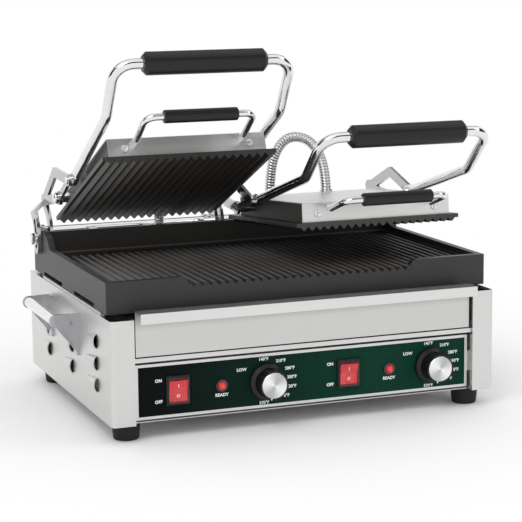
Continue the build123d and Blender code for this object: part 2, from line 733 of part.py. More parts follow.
# Arms, built for the right grill at its rest pose, forward = towards the user

def arm_point(point):
    """(forward, up) from the hinge shaft to (y, z)."""
    return HINGE_Y - point[0], HINGE_Z + point[1]


def bar_between(a, b, half_w, x0, x1):
    """Flat bar with rounded ends between two arm points."""
    ya, za = arm_point(a)
    yb, zb = arm_point(b)
    length = hypot(yb - ya, zb - za)
    along = ((yb - ya) / length, (zb - za) / length)
    plane = Plane(((x0 + x1) / 2, (ya + yb) / 2, (za + zb) / 2),
                  x_dir=(0, along[0], along[1]), z_dir=(1, 0, 0))
    return extrude(plane * SlotOverall(length + 2 * half_w, 2 * half_w), (x1 - x0) / 2, both=True)


def arc_point(reach, angle):
    """Arm point at a reach from the hinge, at an angle below the level line."""
    return reach * cos(radians(angle)), -reach * sin(radians(angle))


def arc_bar(reach, angle0, angle1, half_w, x0, x1):
    """Curved flat bar about the hinge line, with rounded ends."""
    ends = [arm_point(arc_point(reach, angle)) for angle in (angle0, (angle0 + angle1) / 2, angle1)]
    outline = ThreePointArc(*[(y, z) for y, z in ends])
    plane = Plane((x0, 0, 0), x_dir=(0, 1, 0), z_dir=(1, 0, 0))
    return extrude(plane * SlotArc(outline, 2 * half_w), x1 - x0)


def frame_bars(x0, x1):
    """The four-sided flat frame of an arm: pivot, elbow, corner, stud."""
    frame = bar_between(HANDLE_END, ELBOW, BAR_HALF_W, x0, x1)
    frame += bar_between(ELBOW, ARM_CORNER, BAR_HALF_W, x0, x1)
    frame += bar_between(ARM_CORNER, PLATE_PIVOT, BAR_HALF_W, x0, x1)
    frame += bar_between(HANDLE_END, PLATE_PIVOT, BAR_HALF_W - 2.0, x0, x1)
    y, z = arm_point(PLATE_PIVOT)
    frame += rod_x(PIVOT_BOSS_R, x0, x1, y, z)
    y, z = arm_point(HANDLE_END)
    return frame + rod_x(ARM_TAB_R, x0, x1, y, z)


def frame_leg(x0, x1):
    """Curved leg from the arm's corner down in front of the hinge, then back to it."""
    corner_angle = -degrees(atan2(ARM_CORNER[1], ARM_CORNER[0]))
    leg = arc_bar(LEG_REACH, corner_angle, LEG_LOW_ANGLE, BAR_HALF_W, x0, x1)
    leg += bar_between(arc_point(LEG_REACH, LEG_LOW_ANGLE), (0.0, 0.0), BAR_HALF_W, x0, x1)
    return leg + rod_x(HINGE_BOSS_R, x0, x1, HINGE_Y, HINGE_Z)


def arm_holes(x0, x1):
    """Shaft, stud and screw holes of an arm frame."""
    holes = rod_x(HINGE_SHAFT_R + RUN_CLEAR, x0 - 1, x1 + 1, HINGE_Y, HINGE_Z)
    y, z = arm_point(PLATE_PIVOT)
    holes += rod_x(STUD_R + RUN_CLEAR, x0 - 1, x1 + 1, y, z)
    y, z = arm_point(HANDLE_END)
    return holes + rod_x(ARM_SCREW_R, x0 - 1, x1 + 1, y, z)


def slotted_strap(frame_x0):
    """Strap that steps out over the right ear and down past the stop bolt."""
    near, far = strap_x()
    step = arc_point(STOP_REACH, STRAP_HIGH_ANGLE)
    strap = arc_bar(STOP_REACH, STRAP_HIGH_ANGLE, STRAP_LOW_ANGLE, STRAP_HALF_W, frame_x0, far)
    strap += bar_between(step, ARM_CORNER, STRAP_HALF_W, frame_x0, far)
    low = HINGE_Z + JOGGLE_LOW
    high = HINGE_Z + JOGGLE_HIGH
    slant = BAR_T * 0.6
    profile = [(near, HINGE_Z - 80.0), (near, low), (frame_x0, high), (frame_x0, high + 40.0),
               (frame_x0 + BAR_T, high + 40.0), (frame_x0 + BAR_T, high + slant),
               (far, low + slant), (far, HINGE_Z - 80.0)]
    face = make_face(Polyline(*[(x, 0, z) for x, z in profile], close=True))
    strap &= Pos(0, HINGE_Y - 90.0, 0) * extrude(face, amount=120.0, dir=(0, 1, 0))
    slot = arc_bar(STOP_REACH, -ARM_CLOSED - SLOT_SPARE_ANGLE, -ARM_OPEN + SLOT_SPARE_ANGLE,
                   STOP_R + FACE_GAP, near - 1, far + 1)
    return strap - slot


def arm_frame_outer():
    """Outer arm of the right grill: frame, leg and slotted strap, one bent plate."""
    x0 = GRILL_X + BAR_START
    x1 = x0 + BAR_T
    return frame_bars(x0, x1) + frame_leg(x0, x1) + slotted_strap(x0) - arm_holes(x0, x1)


def arm_frame_inner():
    """Inner arm of the right grill: frame and leg."""
    x0, x1 = inner_bar_x()
    return frame_bars(x0, x1) + frame_leg(x0, x1) - arm_holes(x0, x1)


def cross_tube():
    """Thick tube on the hinge shaft that joins both arms of the right grill."""
    x0 = inner_bar_x()[1]
    x1 = GRILL_X + BAR_START
    bore = rod_x(HINGE_SHAFT_R + RUN_CLEAR, x0 - 1, x1 + 1, HINGE_Y, HINGE_Z)
    return rod_x(CROSS_TUBE_R, x0, x1, HINGE_Y, HINGE_Z) - bore


def handle_direction():
    """Unit (forward, up) from the handle's end to its bend."""
    length = hypot(HANDLE_BEND[0] - HANDLE_END[0], HANDLE_BEND[1] - HANDLE_END[1])
    return (HANDLE_BEND[0] - HANDLE_END[0]) / length, (HANDLE_BEND[1] - HANDLE_END[1]) / length


def handle_tab(sign):
    """Flattened end of the handle tube, tapering out of the round section."""
    f, u = handle_direction()
    x = sign * ARM_TUBE_HALF
    tab_end = (HANDLE_END[0] + f * ARM_TAB_LEN, HANDLE_END[1] + u * ARM_TAB_LEN)
    round_start = (tab_end[0] + f * ARM_TAB_TAPER, tab_end[1] + u * ARM_TAB_TAPER)
    tab = bar_between(HANDLE_END, tab_end, ARM_TAB_R, x - ARM_TAB_T / 2, x + ARM_TAB_T / 2)
    back = (-f, u)
    flat = Plane((x, *arm_point(tab_end)), x_dir=(1, 0, 0), z_dir=(0, *back))
    full = Plane((x, *arm_point(round_start)), x_dir=(1, 0, 0), z_dir=(0, *back))
    taper = loft([flat * RectangleRounded(ARM_TAB_T, 2 * ARM_TAB_R, ARM_TAB_T * 0.45),
                  full * Circle(ARM_TUBE_R)])
    y, z = arm_point(HANDLE_END)
    hole = rod_x(ARM_SCREW_R, x - ARM_TAB_T, x + ARM_TAB_T, y, z)
    return tab + taper - hole


def handle_tube():
    """Bent tube with flattened ends, screwed to both arm frames."""
    half = ARM_TUBE_HALF
    f, u = handle_direction()
    inset = ARM_TAB_LEN + ARM_TAB_TAPER
    ends = arm_point((HANDLE_END[0] + f * inset, HANDLE_END[1] + u * inset))
    bend = arm_point(HANDLE_BEND)
    corner = arm_point(HANDLE_CORNER)
    points = [(-half, *ends), (-half, *bend), (-half, *corner),
              (half, *corner), (half, *bend), (half, *ends)]
    path = FilletPolyline(*points, radius=[25.0, 22.0, 22.0, 25.0])
    section = Plane(origin=path @ 0, z_dir=path % 0) * Circle(ARM_TUBE_R)
    tube = sweep(section, path=path) + handle_tab(-1) + handle_tab(1)
    return Pos(GRILL_X, 0, 0) * tube


def handle_grip():
    """Thick moulded sleeve on the handle's cross bar, with bevelled ends."""
    y, z = arm_point(HANDLE_CORNER)
    grip = rod_x(ARM_GRIP_R, -ARM_GRIP_HALF, ARM_GRIP_HALF, y, z)
    grip = chamfer(grip.edges().filter_by(GeomType.CIRCLE), 4.0)
    grip -= rod_x(ARM_TUBE_R, -ARM_GRIP_HALF - 1, ARM_GRIP_HALF + 1, y, z)
    return Pos(GRILL_X, 0, 0) * grip


def arm_screws():
    """Screws through the handle's flattened ends into the arm frames."""
    y, z = arm_point(HANDLE_END)
    inside = ARM_TUBE_HALF - ARM_TAB_T / 2
    outside = BAR_START + BAR_T
    outer = rod_x(ARM_SCREW_R, inside, outside, y, z) + rod_x(4.5, inside - 2.0, inside, y, z)
    outer += rod_x(4.5, outside, outside + 2.0, y, z)
    inner = rod_x(ARM_SCREW_R, -outside, -inside, y, z) + rod_x(4.5, -inside, -inside + 2.0, y, z)
    return Pos(GRILL_X, 0, 0) * group(outer, inner)


# Upper plates, built level, then tilted about the pivot stud

def plate_box(x0, x1, forward0, forward1, up0, up1):
    """Box in the plate's frame, centred on the right grill."""
    y, z = arm_point(PLATE_PIVOT)
    return box(GRILL_X + x0, GRILL_X + x1, y - forward1, y - forward0, z + up0, z + up1)


def upper_casting():
    """Upper cast plate: ribbed flange, hollow body with stud bosses."""
    y, z = arm_point(PLATE_PIVOT)
    flange = plate_box(-FLANGE_HALF, FLANGE_HALF, -FLANGE_REAR, FLANGE_FRONT, FLANGE_BOTTOM, FLANGE_TOP)
    body = plate_box(-BODY_HALF, BODY_HALF, -BODY_REAR, BODY_FRONT, FLANGE_TOP, BODY_TOP)
    corners = body.edges().filter_by(Axis.Z)
    body = fillet(corners, 3.0)
    hollow = plate_box(-BODY_HALF + BODY_WALL, BODY_HALF - BODY_WALL, -BODY_REAR + BODY_WALL,
                       BODY_FRONT - BODY_WALL, FLANGE_TOP, BODY_TOP + 1)
    teeth = ribs(FLANGE_HALF, y - FLANGE_FRONT, y + FLANGE_REAR,
                 z + FLANGE_BOTTOM, z + FLANGE_BOTTOM - RIB_H)
    casting = flange + body - hollow + Pos(GRILL_X, 0, 0) * teeth
    for sign in (-1, 1):
        x0, x1 = sorted((sign * (BODY_HALF - 14.0), sign * BODY_HALF))
        casting += rod_x(8.0, GRILL_X + x0, GRILL_X + x1, y, z)
        casting -= rod_x(STUD_R, GRILL_X + x0 - 1, GRILL_X + x1 + 1, y, z)
    casting -= plate_box(-BODY_HALF - 1, BODY_HALF + 1, -BODY_REAR, BODY_FRONT, BODY_TOP, BODY_TOP + 5)
    for x in (-COVER_SCREW_X, COVER_SCREW_X):
        casting -= screw_hole(x)
    casting -= rod_y(5.0, y + BODY_REAR - BODY_WALL - 1, y + BODY_REAR + 1,
                     GRILL_X + SOCKET_DX, z)
    return casting


def screw_hole(x):
    """Hole for one cover screw in the casting's front wall."""
    y, z = arm_point(PLATE_PIVOT)
    return rod_y(SCREW_R, y - BODY_FRONT - 1, y - BODY_FRONT + BODY_WALL + 1, GRILL_X + x, z + COVER_SCREW_UP)


def top_cover():
    """Brushed sheet over the top and front of the upper casting."""
    y, z = arm_point(PLATE_PIVOT)
    top = plate_box(-BODY_HALF, BODY_HALF, -BODY_REAR, BODY_FRONT + COVER_T, BODY_TOP, BODY_TOP + COVER_T)
    front = plate_box(-BODY_HALF, BODY_HALF, BODY_FRONT, BODY_FRONT + COVER_T,
                      FLANGE_TOP + SEAT_GAP, BODY_TOP + COVER_T)
    cover = top + front
    bend = cover.edges().filter_by(Axis.X).sort_by(lambda e: e.center().Y - e.center().Z)[0]
    cover = fillet(bend, COVER_T * 0.9)
    for x in (-COVER_SCREW_X, COVER_SCREW_X):
        cover -= rod_y(SCREW_R, y - BODY_FRONT - 5, y - BODY_FRONT + 1, GRILL_X + x, z + COVER_SCREW_UP)
    for x in (-SMALL_ROD_HALF, SMALL_ROD_HALF):
        cover -= rod_y(SMALL_ROD_R, y - BODY_FRONT - 5, y - BODY_FRONT + 1, GRILL_X + x, z + SMALL_START_UP)
    return cover


def small_handle():
    """Bent rod on the front of the cover, pressed into the casting."""
    y, z = arm_point(PLATE_PIVOT)
    back = y - BODY_FRONT
    half = SMALL_ROD_HALF
    near = (back - 16.0, z + SMALL_START_UP)
    far = (back - SMALL_OUT - COVER_T, z + SMALL_UP)
    points = [(-half, back, z + SMALL_START_UP), (-half, *near), (-half, *far),
              (half, *far), (half, *near), (half, back, z + SMALL_START_UP)]
    path = FilletPolyline(*points, radius=[14.0, 12.0, 12.0, 14.0])
    section = Plane(origin=path @ 0, z_dir=path % 0) * Circle(SMALL_ROD_R)
    return Pos(GRILL_X, 0, 0) * sweep(section, path=path)


def small_grip():
    """Black sleeve on the small handle."""
    y, z = arm_point(PLATE_PIVOT)
    y -= BODY_FRONT + SMALL_OUT + COVER_T
    z += SMALL_UP
    grip = rod_x(SMALL_GRIP_R, -SMALL_GRIP_HALF, SMALL_GRIP_HALF, y, z)
    grip = chamfer(grip.edges().filter_by(GeomType.CIRCLE), 1.2)
    grip -= rod_x(SMALL_ROD_R, -SMALL_GRIP_HALF - 1, SMALL_GRIP_HALF + 1, y, z)
    return Pos(GRILL_X, 0, 0) * grip


def pivot_studs():
    """Collared studs in the casting's sides; the outer one ends in a dome nut."""
    y, z = arm_point(PLATE_PIVOT)
    root = BODY_HALF - STUD_GRIP
    collar_end = BAR_START - FACE_GAP
    bar_end = BAR_START + BAR_T + FACE_GAP
    outer = rod_x(STUD_R, root, bar_end, y, z)
    outer += rod_x(STUD_R + STUD_COLLAR, BODY_HALF, collar_end, y, z)
    outer += rod_x(DOME_R, bar_end, bar_end + DOME_T / 2, y, z)
    outer += Pos(bar_end + DOME_T / 2, y, z) * scale(Sphere(DOME_R - 1.0), by=(0.55, 1, 1))
    inner = rod_x(STUD_R, -bar_end, -root, y, z)
    inner += rod_x(STUD_R + STUD_COLLAR, -collar_end, -BODY_HALF, y, z)
    return Pos(GRILL_X, 0, 0) * group(outer, inner)


def upper_element():
    """Heating tube cast-seated on the floor of the upper casting."""
    y, z = arm_point(PLATE_PIVOT)
    loop = element_loop(72.0, y - BODY_FRONT + 20.0, y + BODY_REAR - 36.0, z + FLANGE_TOP + ELEMENT_R)
    return Pos(GRILL_X, 0, 0) * loop


def conduit_socket():
    """Upright elbow fitting on the rear wall of the upper casting."""
    y, z = arm_point(PLATE_PIVOT)
    rear = y + BODY_REAR
    x = GRILL_X + SOCKET_DX
    elbow = rod_z(SOCKET_R, z - SOCKET_DEPTH, z + SOCKET_TOP, x, rear + SOCKET_BACK)
    elbow += rod_y(SOCKET_R - 1.5, rear, rear + SOCKET_BACK, x, z)
    elbow += rod_y(5.0, rear - BODY_WALL, rear, x, z)
    elbow -= rod_y(CONDUIT_BORE, rear - BODY_WALL - 1, rear + SOCKET_BACK, x, z)
    return elbow - rod_z(CONDUIT_BORE, z, z + SOCKET_TOP + 1, x, rear + SOCKET_BACK)


# Conduits

def gland_x(sign):
    """X of the conduit gland of one grill."""
    return sign * (GRILL_X + CONDUIT_GLAND_DX)


def conduit_glands():
    """Glands on the rear deck where the conduits go into the base."""
    shapes = []
    for sign in SIDES.values():
        x = gland_x(sign)
        gland = rod_z(GLAND_R, BODY_TOP_Z, BODY_TOP_Z + GLAND_H, x, CONDUIT_GLAND_Y)
        gland += rod_z(CONDUIT_R, BODY_TOP_Z - 8.0, BODY_TOP_Z, x, CONDUIT_GLAND_Y)
        top = BODY_TOP_Z + GLAND_H + 1
        shapes.append(gland - rod_z(CONDUIT_BORE, BODY_TOP_Z - 9.0, top, x, CONDUIT_GLAND_Y))
    return group(*shapes)


def pivot_at_rest(side):
    """(y, z) of the stud of one grill as photographed."""
    f, u = PLATE_PIVOT
    angle = radians(ARM_REST[side])
    return (HINGE_Y - f * cos(angle) - u * sin(angle), HINGE_Z - f * sin(angle) + u * cos(angle))


def socket_mouth(side):
    """(y, z) where a conduit leaves its upper plate at rest, and the way it points."""
    y, z = pivot_at_rest(side)
    angle = radians(PLATE_REST[side])
    back = BODY_REAR + SOCKET_BACK
    mouth = (y + back * cos(angle) - SOCKET_TOP * sin(angle),
             z + back * sin(angle) + SOCKET_TOP * cos(angle))
    return mouth, (-sin(angle), cos(angle))


def conduit_route(side):
    """Corners of a conduit from its socket, over the top and down to its gland."""
    sign = SIDES[side]
    (y, z), (dy, dz) = socket_mouth(side)
    x = sign * (GRILL_X + SOCKET_DX)
    end_x = gland_x(sign)
    end_y = CONDUIT_GLAND_Y
    across = end_x - x
    peak = CONDUIT_PEAK_Z[side]
    low = BODY_TOP_Z + GLAND_H
    lift = (y + CONDUIT_LIFT * dy, z + CONDUIT_LIFT * dz)
    drop = peak - low
    return [(x, y, z), (x, *lift),
            (x + 0.06 * across, lift[0] + 0.35 * (end_y - lift[0]), lift[1] + 0.6 * (peak - lift[1])),
            (x + 0.28 * across, lift[0] + 0.70 * (end_y - lift[0]), peak - 1.0),
            (x + 0.66 * across, lift[0] + 0.92 * (end_y - lift[0]), peak),
            (x + 0.92 * across, end_y - 0.5, peak - 0.16 * drop),
            (end_x, end_y + 1.0, peak - 0.41 * drop),
            (end_x, end_y, peak - 0.71 * drop),
            (end_x, end_y, low)]


def conduit(side):
    """Flexible steel conduit as a plain tube."""
    points = [Vector(*point) for point in conduit_route(side)]
    runs = [b - a for a, b in zip(points, points[1:])]
    radii = []
    for before, after in zip(runs, runs[1:]):
        half_turn = radians(before.get_angle(after)) / 2
        radii.append(0.45 * min(before.length, after.length) / tan(half_turn))
    path = FilletPolyline(*points, radius=radii)
    section = Plane(origin=path @ 0, z_dir=path % 0) * Circle(CONDUIT_R)
    tube = sweep(section, path=path)
    expected = pi * CONDUIT_R ** 2 * path.length
    print("conduit", side, "length", round(path.length, 1), "radii", [round(r) for r in radii],
          "runs", [round(run.length) for run in runs], "volume ratio", round(tube.volume / expected, 4))
    return tube


# Placing

def to_side(shape, side):
    """The right grill's piece, or its mirror image for the left grill."""
    return shape if side == "right" else mirrored(shape)


def pose_arm(shape, side):
    """Turn an arm piece about the hinge bolts to its photographed angle."""
    return turn_about(shape, ARM_REST[side], HINGE_Y, HINGE_Z)


def pose_plate(shape, side):
    """Carry a plate piece to its stud at rest and tilt it."""
    y, z = arm_point(PLATE_PIVOT)
    new_y, new_z = pivot_at_rest(side)
    moved = Pos(0, new_y - y, new_z - z) * shape
    return turn_about(moved, PLATE_REST[side], new_y, new_z)


def build_nodes():
    """Every node by name."""
    places = control_places()
    panel = side_panel()
    nodes = {
        "side_panel_left": panel,
        "side_panel_right": mirrored(panel),
        "base_plate": base_plate(),
        "rear_panel": rear_panel(),
        "rear_deck": rear_deck(),
        "inlet_gland": inlet_gland(),
        "feet": feet(),
        "foot_screws": foot_screws(),
        "support_rails": support_rails(),
        "drip_tray": drip_tray(),
        "tray_runners": tray_runners(),
        "front_rail": front_rail(),
        "control_panel": control_panel(),
        "panel_overlay": panel_overlay(),
        "lower_casting": lower_casting(),
        "heat_shield": heat_shield(),
        "terminal_block": terminal_block(),
        "hinge_brackets": hinge_brackets(),
        "hinge_shaft": hinge_shaft(),
        "stop_bolts": stop_bolts(),
        "carry_brackets": carry_brackets(),
        "carry_bars": carry_bars(),
        "conduit_glands": conduit_glands(),
        "thermostats": group(*[thermostat(x + KNOB_DX) for x in places.values()]),
        "switch_bodies": group(*[switch_body(x + ROCKER_DX) for x in places.values()]),
        "indicator_lamps": group(*[indicator_lamp(x + LAMP_DX) for x in places.values()]),
        "lower_elements": group(*[lower_element(sign) for sign in SIDES.values()]),
    }
    for side, x in places.items():
        nodes["rocker_" + side] = rocker(x + ROCKER_DX)
        nodes["knob_" + side] = knob(x + KNOB_DX)
        nodes["knob_cap_" + side] = knob_cap(x + KNOB_DX)
        nodes["conduit_" + side] = conduit(side)
    arm_pieces = {
        "arm_frames": group(arm_frame_outer(), arm_frame_inner()),
        "cross_tube": cross_tube(),
        "handle_tube": handle_tube(),
        "handle_grip": handle_grip(),
        "arm_screws": arm_screws(),
    }
    plate_pieces = {
        "upper_casting": upper_casting(),
        "top_cover": top_cover(),
        "small_handle": small_handle(),
        "small_grip": small_grip(),
        "pivot_studs": pivot_studs(),
        "upper_element": upper_element(),
        "conduit_socket": conduit_socket(),
    }
    for name, shape in arm_pieces.items():
        for side in SIDES:
            nodes[name + "_" + side] = pose_arm(to_side(shape, side), side)
    for name, shape in plate_pieces.items():
        for side in SIDES:
            nodes[name + "_" + side] = pose_plate(to_side(shape, side), side)
    return nodes


def centre_nodes(nodes):
    """Shift everything so that the whole box is centred in Y."""
    lows = []
    highs = []
    for shape in nodes.values():
        bounds = shape.bounding_box()
        lows.append(bounds.min.Y)
        highs.append(bounds.max.Y)
    shift = -(min(lows) + max(highs)) / 2
    print("origin shift in Y", round(shift, 3))
    return {name: Pos(0, shift, 0) * shape for name, shape in nodes.items()}


def main():
    """Build and write every node."""
    os.makedirs("parts", exist_ok=True)
    for name, shape in centre_nodes(build_nodes()).items():
        export_step(shape, "parts/" + name + ".step")


main()
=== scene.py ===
import json
import logging
import math
from dataclasses import dataclass
from enum import Enum
from typing import Any, Sequence

import bpy
from mathutils import Matrix, Vector


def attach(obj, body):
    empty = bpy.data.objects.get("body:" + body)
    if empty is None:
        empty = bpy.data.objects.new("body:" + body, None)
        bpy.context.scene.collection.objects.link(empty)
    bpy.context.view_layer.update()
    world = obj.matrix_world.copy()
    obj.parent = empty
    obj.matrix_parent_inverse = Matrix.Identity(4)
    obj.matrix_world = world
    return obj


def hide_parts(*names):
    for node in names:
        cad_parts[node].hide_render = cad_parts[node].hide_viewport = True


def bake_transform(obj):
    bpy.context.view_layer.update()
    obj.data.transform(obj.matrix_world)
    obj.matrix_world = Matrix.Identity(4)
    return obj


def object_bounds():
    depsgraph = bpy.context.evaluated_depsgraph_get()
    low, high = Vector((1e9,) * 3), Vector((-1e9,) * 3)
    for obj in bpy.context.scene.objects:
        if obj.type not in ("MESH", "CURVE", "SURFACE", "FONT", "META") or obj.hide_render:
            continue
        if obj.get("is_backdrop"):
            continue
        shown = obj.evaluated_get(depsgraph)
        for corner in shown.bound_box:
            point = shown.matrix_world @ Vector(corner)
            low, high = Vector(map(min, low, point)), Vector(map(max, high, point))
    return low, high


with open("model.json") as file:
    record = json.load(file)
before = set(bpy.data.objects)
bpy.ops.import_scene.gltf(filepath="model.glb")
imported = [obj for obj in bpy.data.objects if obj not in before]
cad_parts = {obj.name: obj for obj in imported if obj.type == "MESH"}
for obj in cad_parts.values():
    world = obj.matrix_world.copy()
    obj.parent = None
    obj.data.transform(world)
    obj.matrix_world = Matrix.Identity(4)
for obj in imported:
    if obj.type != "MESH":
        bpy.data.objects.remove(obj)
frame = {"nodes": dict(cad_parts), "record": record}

logging.basicConfig(level=logging.INFO, format="%(message)s")
log = logging.getLogger("grill")

MM = 0.001
SHIFT_Y = -166.25
EDGE_ANGLE = math.radians(40.0)
WOUND_ANGLE = math.radians(50.0)
FACING_FRONT = Matrix.Rotation(math.radians(90.0), 4, "X")
Colour = tuple[float, float, float]
Place = tuple[float, float, float]


def at(x: float, y: float, z: float) -> Vector:
    """Place a point measured in millimetres from the column fronts.

    Args:
        x: millimetres to the right of the middle.
        y: millimetres behind the front of the corner columns.
        z: millimetres above the table.

    Returns:
        The same point in metres, in the frame of the finished grill.
    """
    return Vector((x * MM, (y + SHIFT_Y) * MM, z * MM))


class Side(Enum):
    """The two grills that share one base."""

    LEFT = -1
    RIGHT = 1

    @property
    def tag(self) -> str:
        """Ending that the pieces of this side carry in their names."""
        return self.name.lower()

    @property
    def controls_x(self) -> float:
        """Middle of this side's controls, in millimetres."""
        return 103.5 * self.value


@dataclass(frozen=True)
class Finish:
    """How one surface takes the light."""

    colour: Colour
    roughness: float
    metallic: float = 0.0
    coat: float = 0.0
    shine: float = 0.5


@dataclass(frozen=True)
class Pattern:
    """How far a noise reaches into the tone, the roughness and the height of a surface."""

    dark: float
    light: float
    rough_from: float
    rough_by: float
    bump: float = 0.0
    depth: float = 0.0


@dataclass(frozen=True)
class Stance:
    """The stud of an upper plate in millimetres, and the plate's lean in degrees."""

    pivot_y: float
    pivot_z: float
    lean: float

    def place(self, x: float, forward: float, up: float) -> Matrix:
        """Find a spot on the plate, with the plate's own lean.

        Args:
            x: millimetres across, from the middle of the base.
            forward: millimetres from the stud towards the user.
            up: millimetres above the stud.

        Returns:
            The matrix whose -Y looks out of the plate's front.
        """
        turn = Matrix.Rotation(math.radians(self.lean), 4, "X")
        step = turn @ Vector((0.0, -forward * MM, up * MM))
        return Matrix.Translation(at(x, self.pivot_y, self.pivot_z) + step) @ turn


@dataclass(frozen=True)
class PanelSizes:
    """Sizes of the printed panel and its controls, in millimetres and degrees."""

    face_y: float = 9.6
    middle_z: float = 54.0
    rocker_dx: float = -52.0
    knob_dx: float = 54.0
    letters: float = 5.0
    print_lift: float = 0.03
    switch_words_dx: float = -22.5
    switch_words_dz: float = 12.0
    ready_dz: float = -11.0
    boot: tuple[float, float, float] = (24.0, 3.8, 29.0)
    boot_edge: float = 1.7
    boot_y: float = 4.75
    axle_y: float = 11.6
    rocker_reach: float = 4.95
    rocker_lean: float = 8.0
    marks_dz: float = 6.0
    knob_front_y: float = -16.6
    pointer: tuple[float, float, float] = (1.2, 0.5, 3.0)
    pointer_edge: float = 0.15
    pointer_sunk: float = 0.5
    pointer_out: float = 15.4
    pointer_turn: float = 14.0


@dataclass(frozen=True)
class CoverScrewSizes:
    """Sizes of the screws on an upper plate's cover, in millimetres."""

    plate_x: float = 112.0
    apart: float = 75.0
    front: float = 181.6
    up: float = -1.0
    head_radius: float = 4.2
    head_height: float = 2.2
    head_edge: float = 0.95
    head_lift: float = 1.0
    recess_long: float = 4.4
    recess_wide: float = 0.9
    recess_deep: float = 2.0
    recess_edge: float = 0.1
    recess_lift: float = 1.4


@dataclass(frozen=True)
class ConduitSizes:
    """Sizes of the wound steel conduit, in millimetres, and how finely it's made."""

    radius: float = 7.0
    groove: float = 1.0
    pitch: float = 3.6
    facets: int = 22
    fineness: int = 48


@dataclass(frozen=True)
class CastZones:
    """Where the lower casting is seasoned and where its rib tips carry a painted highlight, in metres, and
    the tones.
    """

    inner_half: float = 0.2255
    inner_front: float = at(0, 23.0, 0).y
    inner_floor: float = 0.150
    # Heights where the rib tips are painted light grey as a highlight.
    rib_highlight_from: float = 0.1690
    rib_highlight_to: float = 0.1715
    rib_highlight_rate: float = 600.0
    seasoned_dark: float = 0.6
    seasoned_light: float = 1.2


@dataclass(frozen=True)
class TrayZones:
    """Where the tray's front turns into its folded lip, in metres, and the tones of its painted highlight,
    shade and shadow.
    """

    lip_back: float = at(0, 3.0, 0).y
    lip_foot: float = 0.1365
    shadow_rate: float = 90.0
    # Painted highlight on the lip, painted shade on the plate below it, and a painted shadow just under
    # the lip.
    lip_highlight_tone: float = 1.10
    plate_shade_tone: float = 0.93
    shadow_tone: float = 0.60
    streak_tone: float = 0.6
    streak_share: float = 0.16
    rough_from: float = 0.30
    rough_by: float = 0.12


@dataclass(frozen=True)
class JewelSizes:
    """The lens of an indicator, in metres, and how fast its red deepens outwards."""

    radius: float = 0.00535
    deepen: float = 170.0


@dataclass(frozen=True)
class GridPrint:
    """The overlay's run from black to green and the fine lines over it."""

    per_metre: float = 420.0
    line_from: float = 0.72
    line_share: float = 0.55
    run_slope: float = 4.2
    run_middle: float = 0.72
    run_ease: float = 0.15


@dataclass(frozen=True)
class Turning:
    """The painted highlight wedges and the tool rings of a turned disc."""

    wedges: float = 2.0
    wedge_turn: float = 1.1
    wedge_share: float = 0.85
    rings: float = 9000.0
    ring_share: float = 0.06


@dataclass(frozen=True)
class CameraSetting:
    """Where the photo was taken from, in metres and degrees."""

    place: Place = (-0.772657, -2.020120, 0.536769)
    lens: float = 124.776
    sensor: float = 36.0
    far: float = 50.0
    swing: float = -21.067
    height: float = 9.785
    roll: float = -0.548


@dataclass(frozen=True)
class TableSetting:
    """The table under the grill, in metres, and how it fades to white."""

    size: float = 14.0
    z: float = -0.0002
    fade_from: float = 0.30
    fade_rate: float = 2.2


@dataclass(frozen=True)
class Card:
    """A dark board that only shows in reflections, in metres."""

    name: str
    size: tuple[float, float]
    place: Place


@dataclass(frozen=True)
class SoftLight:
    """A square soft light, in metres and watts."""

    name: str
    place: Place
    size: float
    power: float


STANCES = {Side.LEFT: Stance(254.911, 242.883, -24.3), Side.RIGHT: Stance(243.9, 218.9, -4.9)}

CONDUIT_ROUTES: dict[Side, tuple[Place, ...]] = {
    Side.RIGHT: ((0.140, 0.11372, 0.22986), (0.140, 0.11551, 0.25078), (0.13616, 0.12680, 0.27851),
                 (0.12208, 0.13808, 0.296), (0.09776, 0.14517, 0.297), (0.08112, 0.14725, 0.27428),
                 (0.076, 0.14875, 0.23878), (0.076, 0.14775, 0.19618), (0.076, 0.14775, 0.155)),
    Side.LEFT: ((-0.140, 0.12632, 0.24124), (-0.140, 0.13496, 0.26038), (-0.13616, 0.13944, 0.27095),
                (-0.12208, 0.14391, 0.277), (-0.09776, 0.14673, 0.278), (-0.08112, 0.14725, 0.25832),
                (-0.076, 0.14875, 0.22757), (-0.076, 0.14775, 0.19067), (-0.076, 0.14775, 0.155)),
}

BRUSHED = Finish((0.70, 0.70, 0.69), 0.36, 1.0)
POLISHED = Finish((0.80, 0.80, 0.82), 0.05, 1.0)
# Chrome painted darker, as painted shade for the dark reflections on the arm frames and carry brackets.
DIMMED_CHROME = Finish((0.46, 0.46, 0.48), 0.14, 1.0)
CAST_SIDE = Finish((0.034, 0.034, 0.036), 0.48, 0.0, 0.0, 0.35)
CAST_TOP = Finish((0.024, 0.021, 0.018), 0.38, 0.0, 0.0, 0.6)
SATIN_BLACK = Finish((0.008, 0.008, 0.010), 0.36, 0.0, 0.0, 0.35)
LENS_RED = Finish((0.66, 0.012, 0.016), 0.14, 0.0, 0.6)
SOFT_RUBBER = Finish((0.012, 0.012, 0.012), 0.62, 0.0, 0.0, 0.3)
SPUN = Finish((0.80, 0.80, 0.81), 0.24, 1.0)
ZINC = Finish((0.58, 0.58, 0.57), 0.38, 1.0)
GLAZED = Finish((0.82, 0.80, 0.75), 0.22)
INK = Finish((0.95, 0.95, 0.94), 0.5)
CLEAR_BOOT = Finish((0.78, 0.22, 0.22), 0.12, 0.0, 0.5)
CONDUIT = Finish((0.62, 0.62, 0.61), 0.24, 1.0)
TABLE = Finish((0.97, 0.97, 0.97), 0.7, 0.0, 0.0, 0.0)
CARD_BLACK = Finish((0.02, 0.02, 0.02), 1.0, 0.0, 0.0, 0.0)

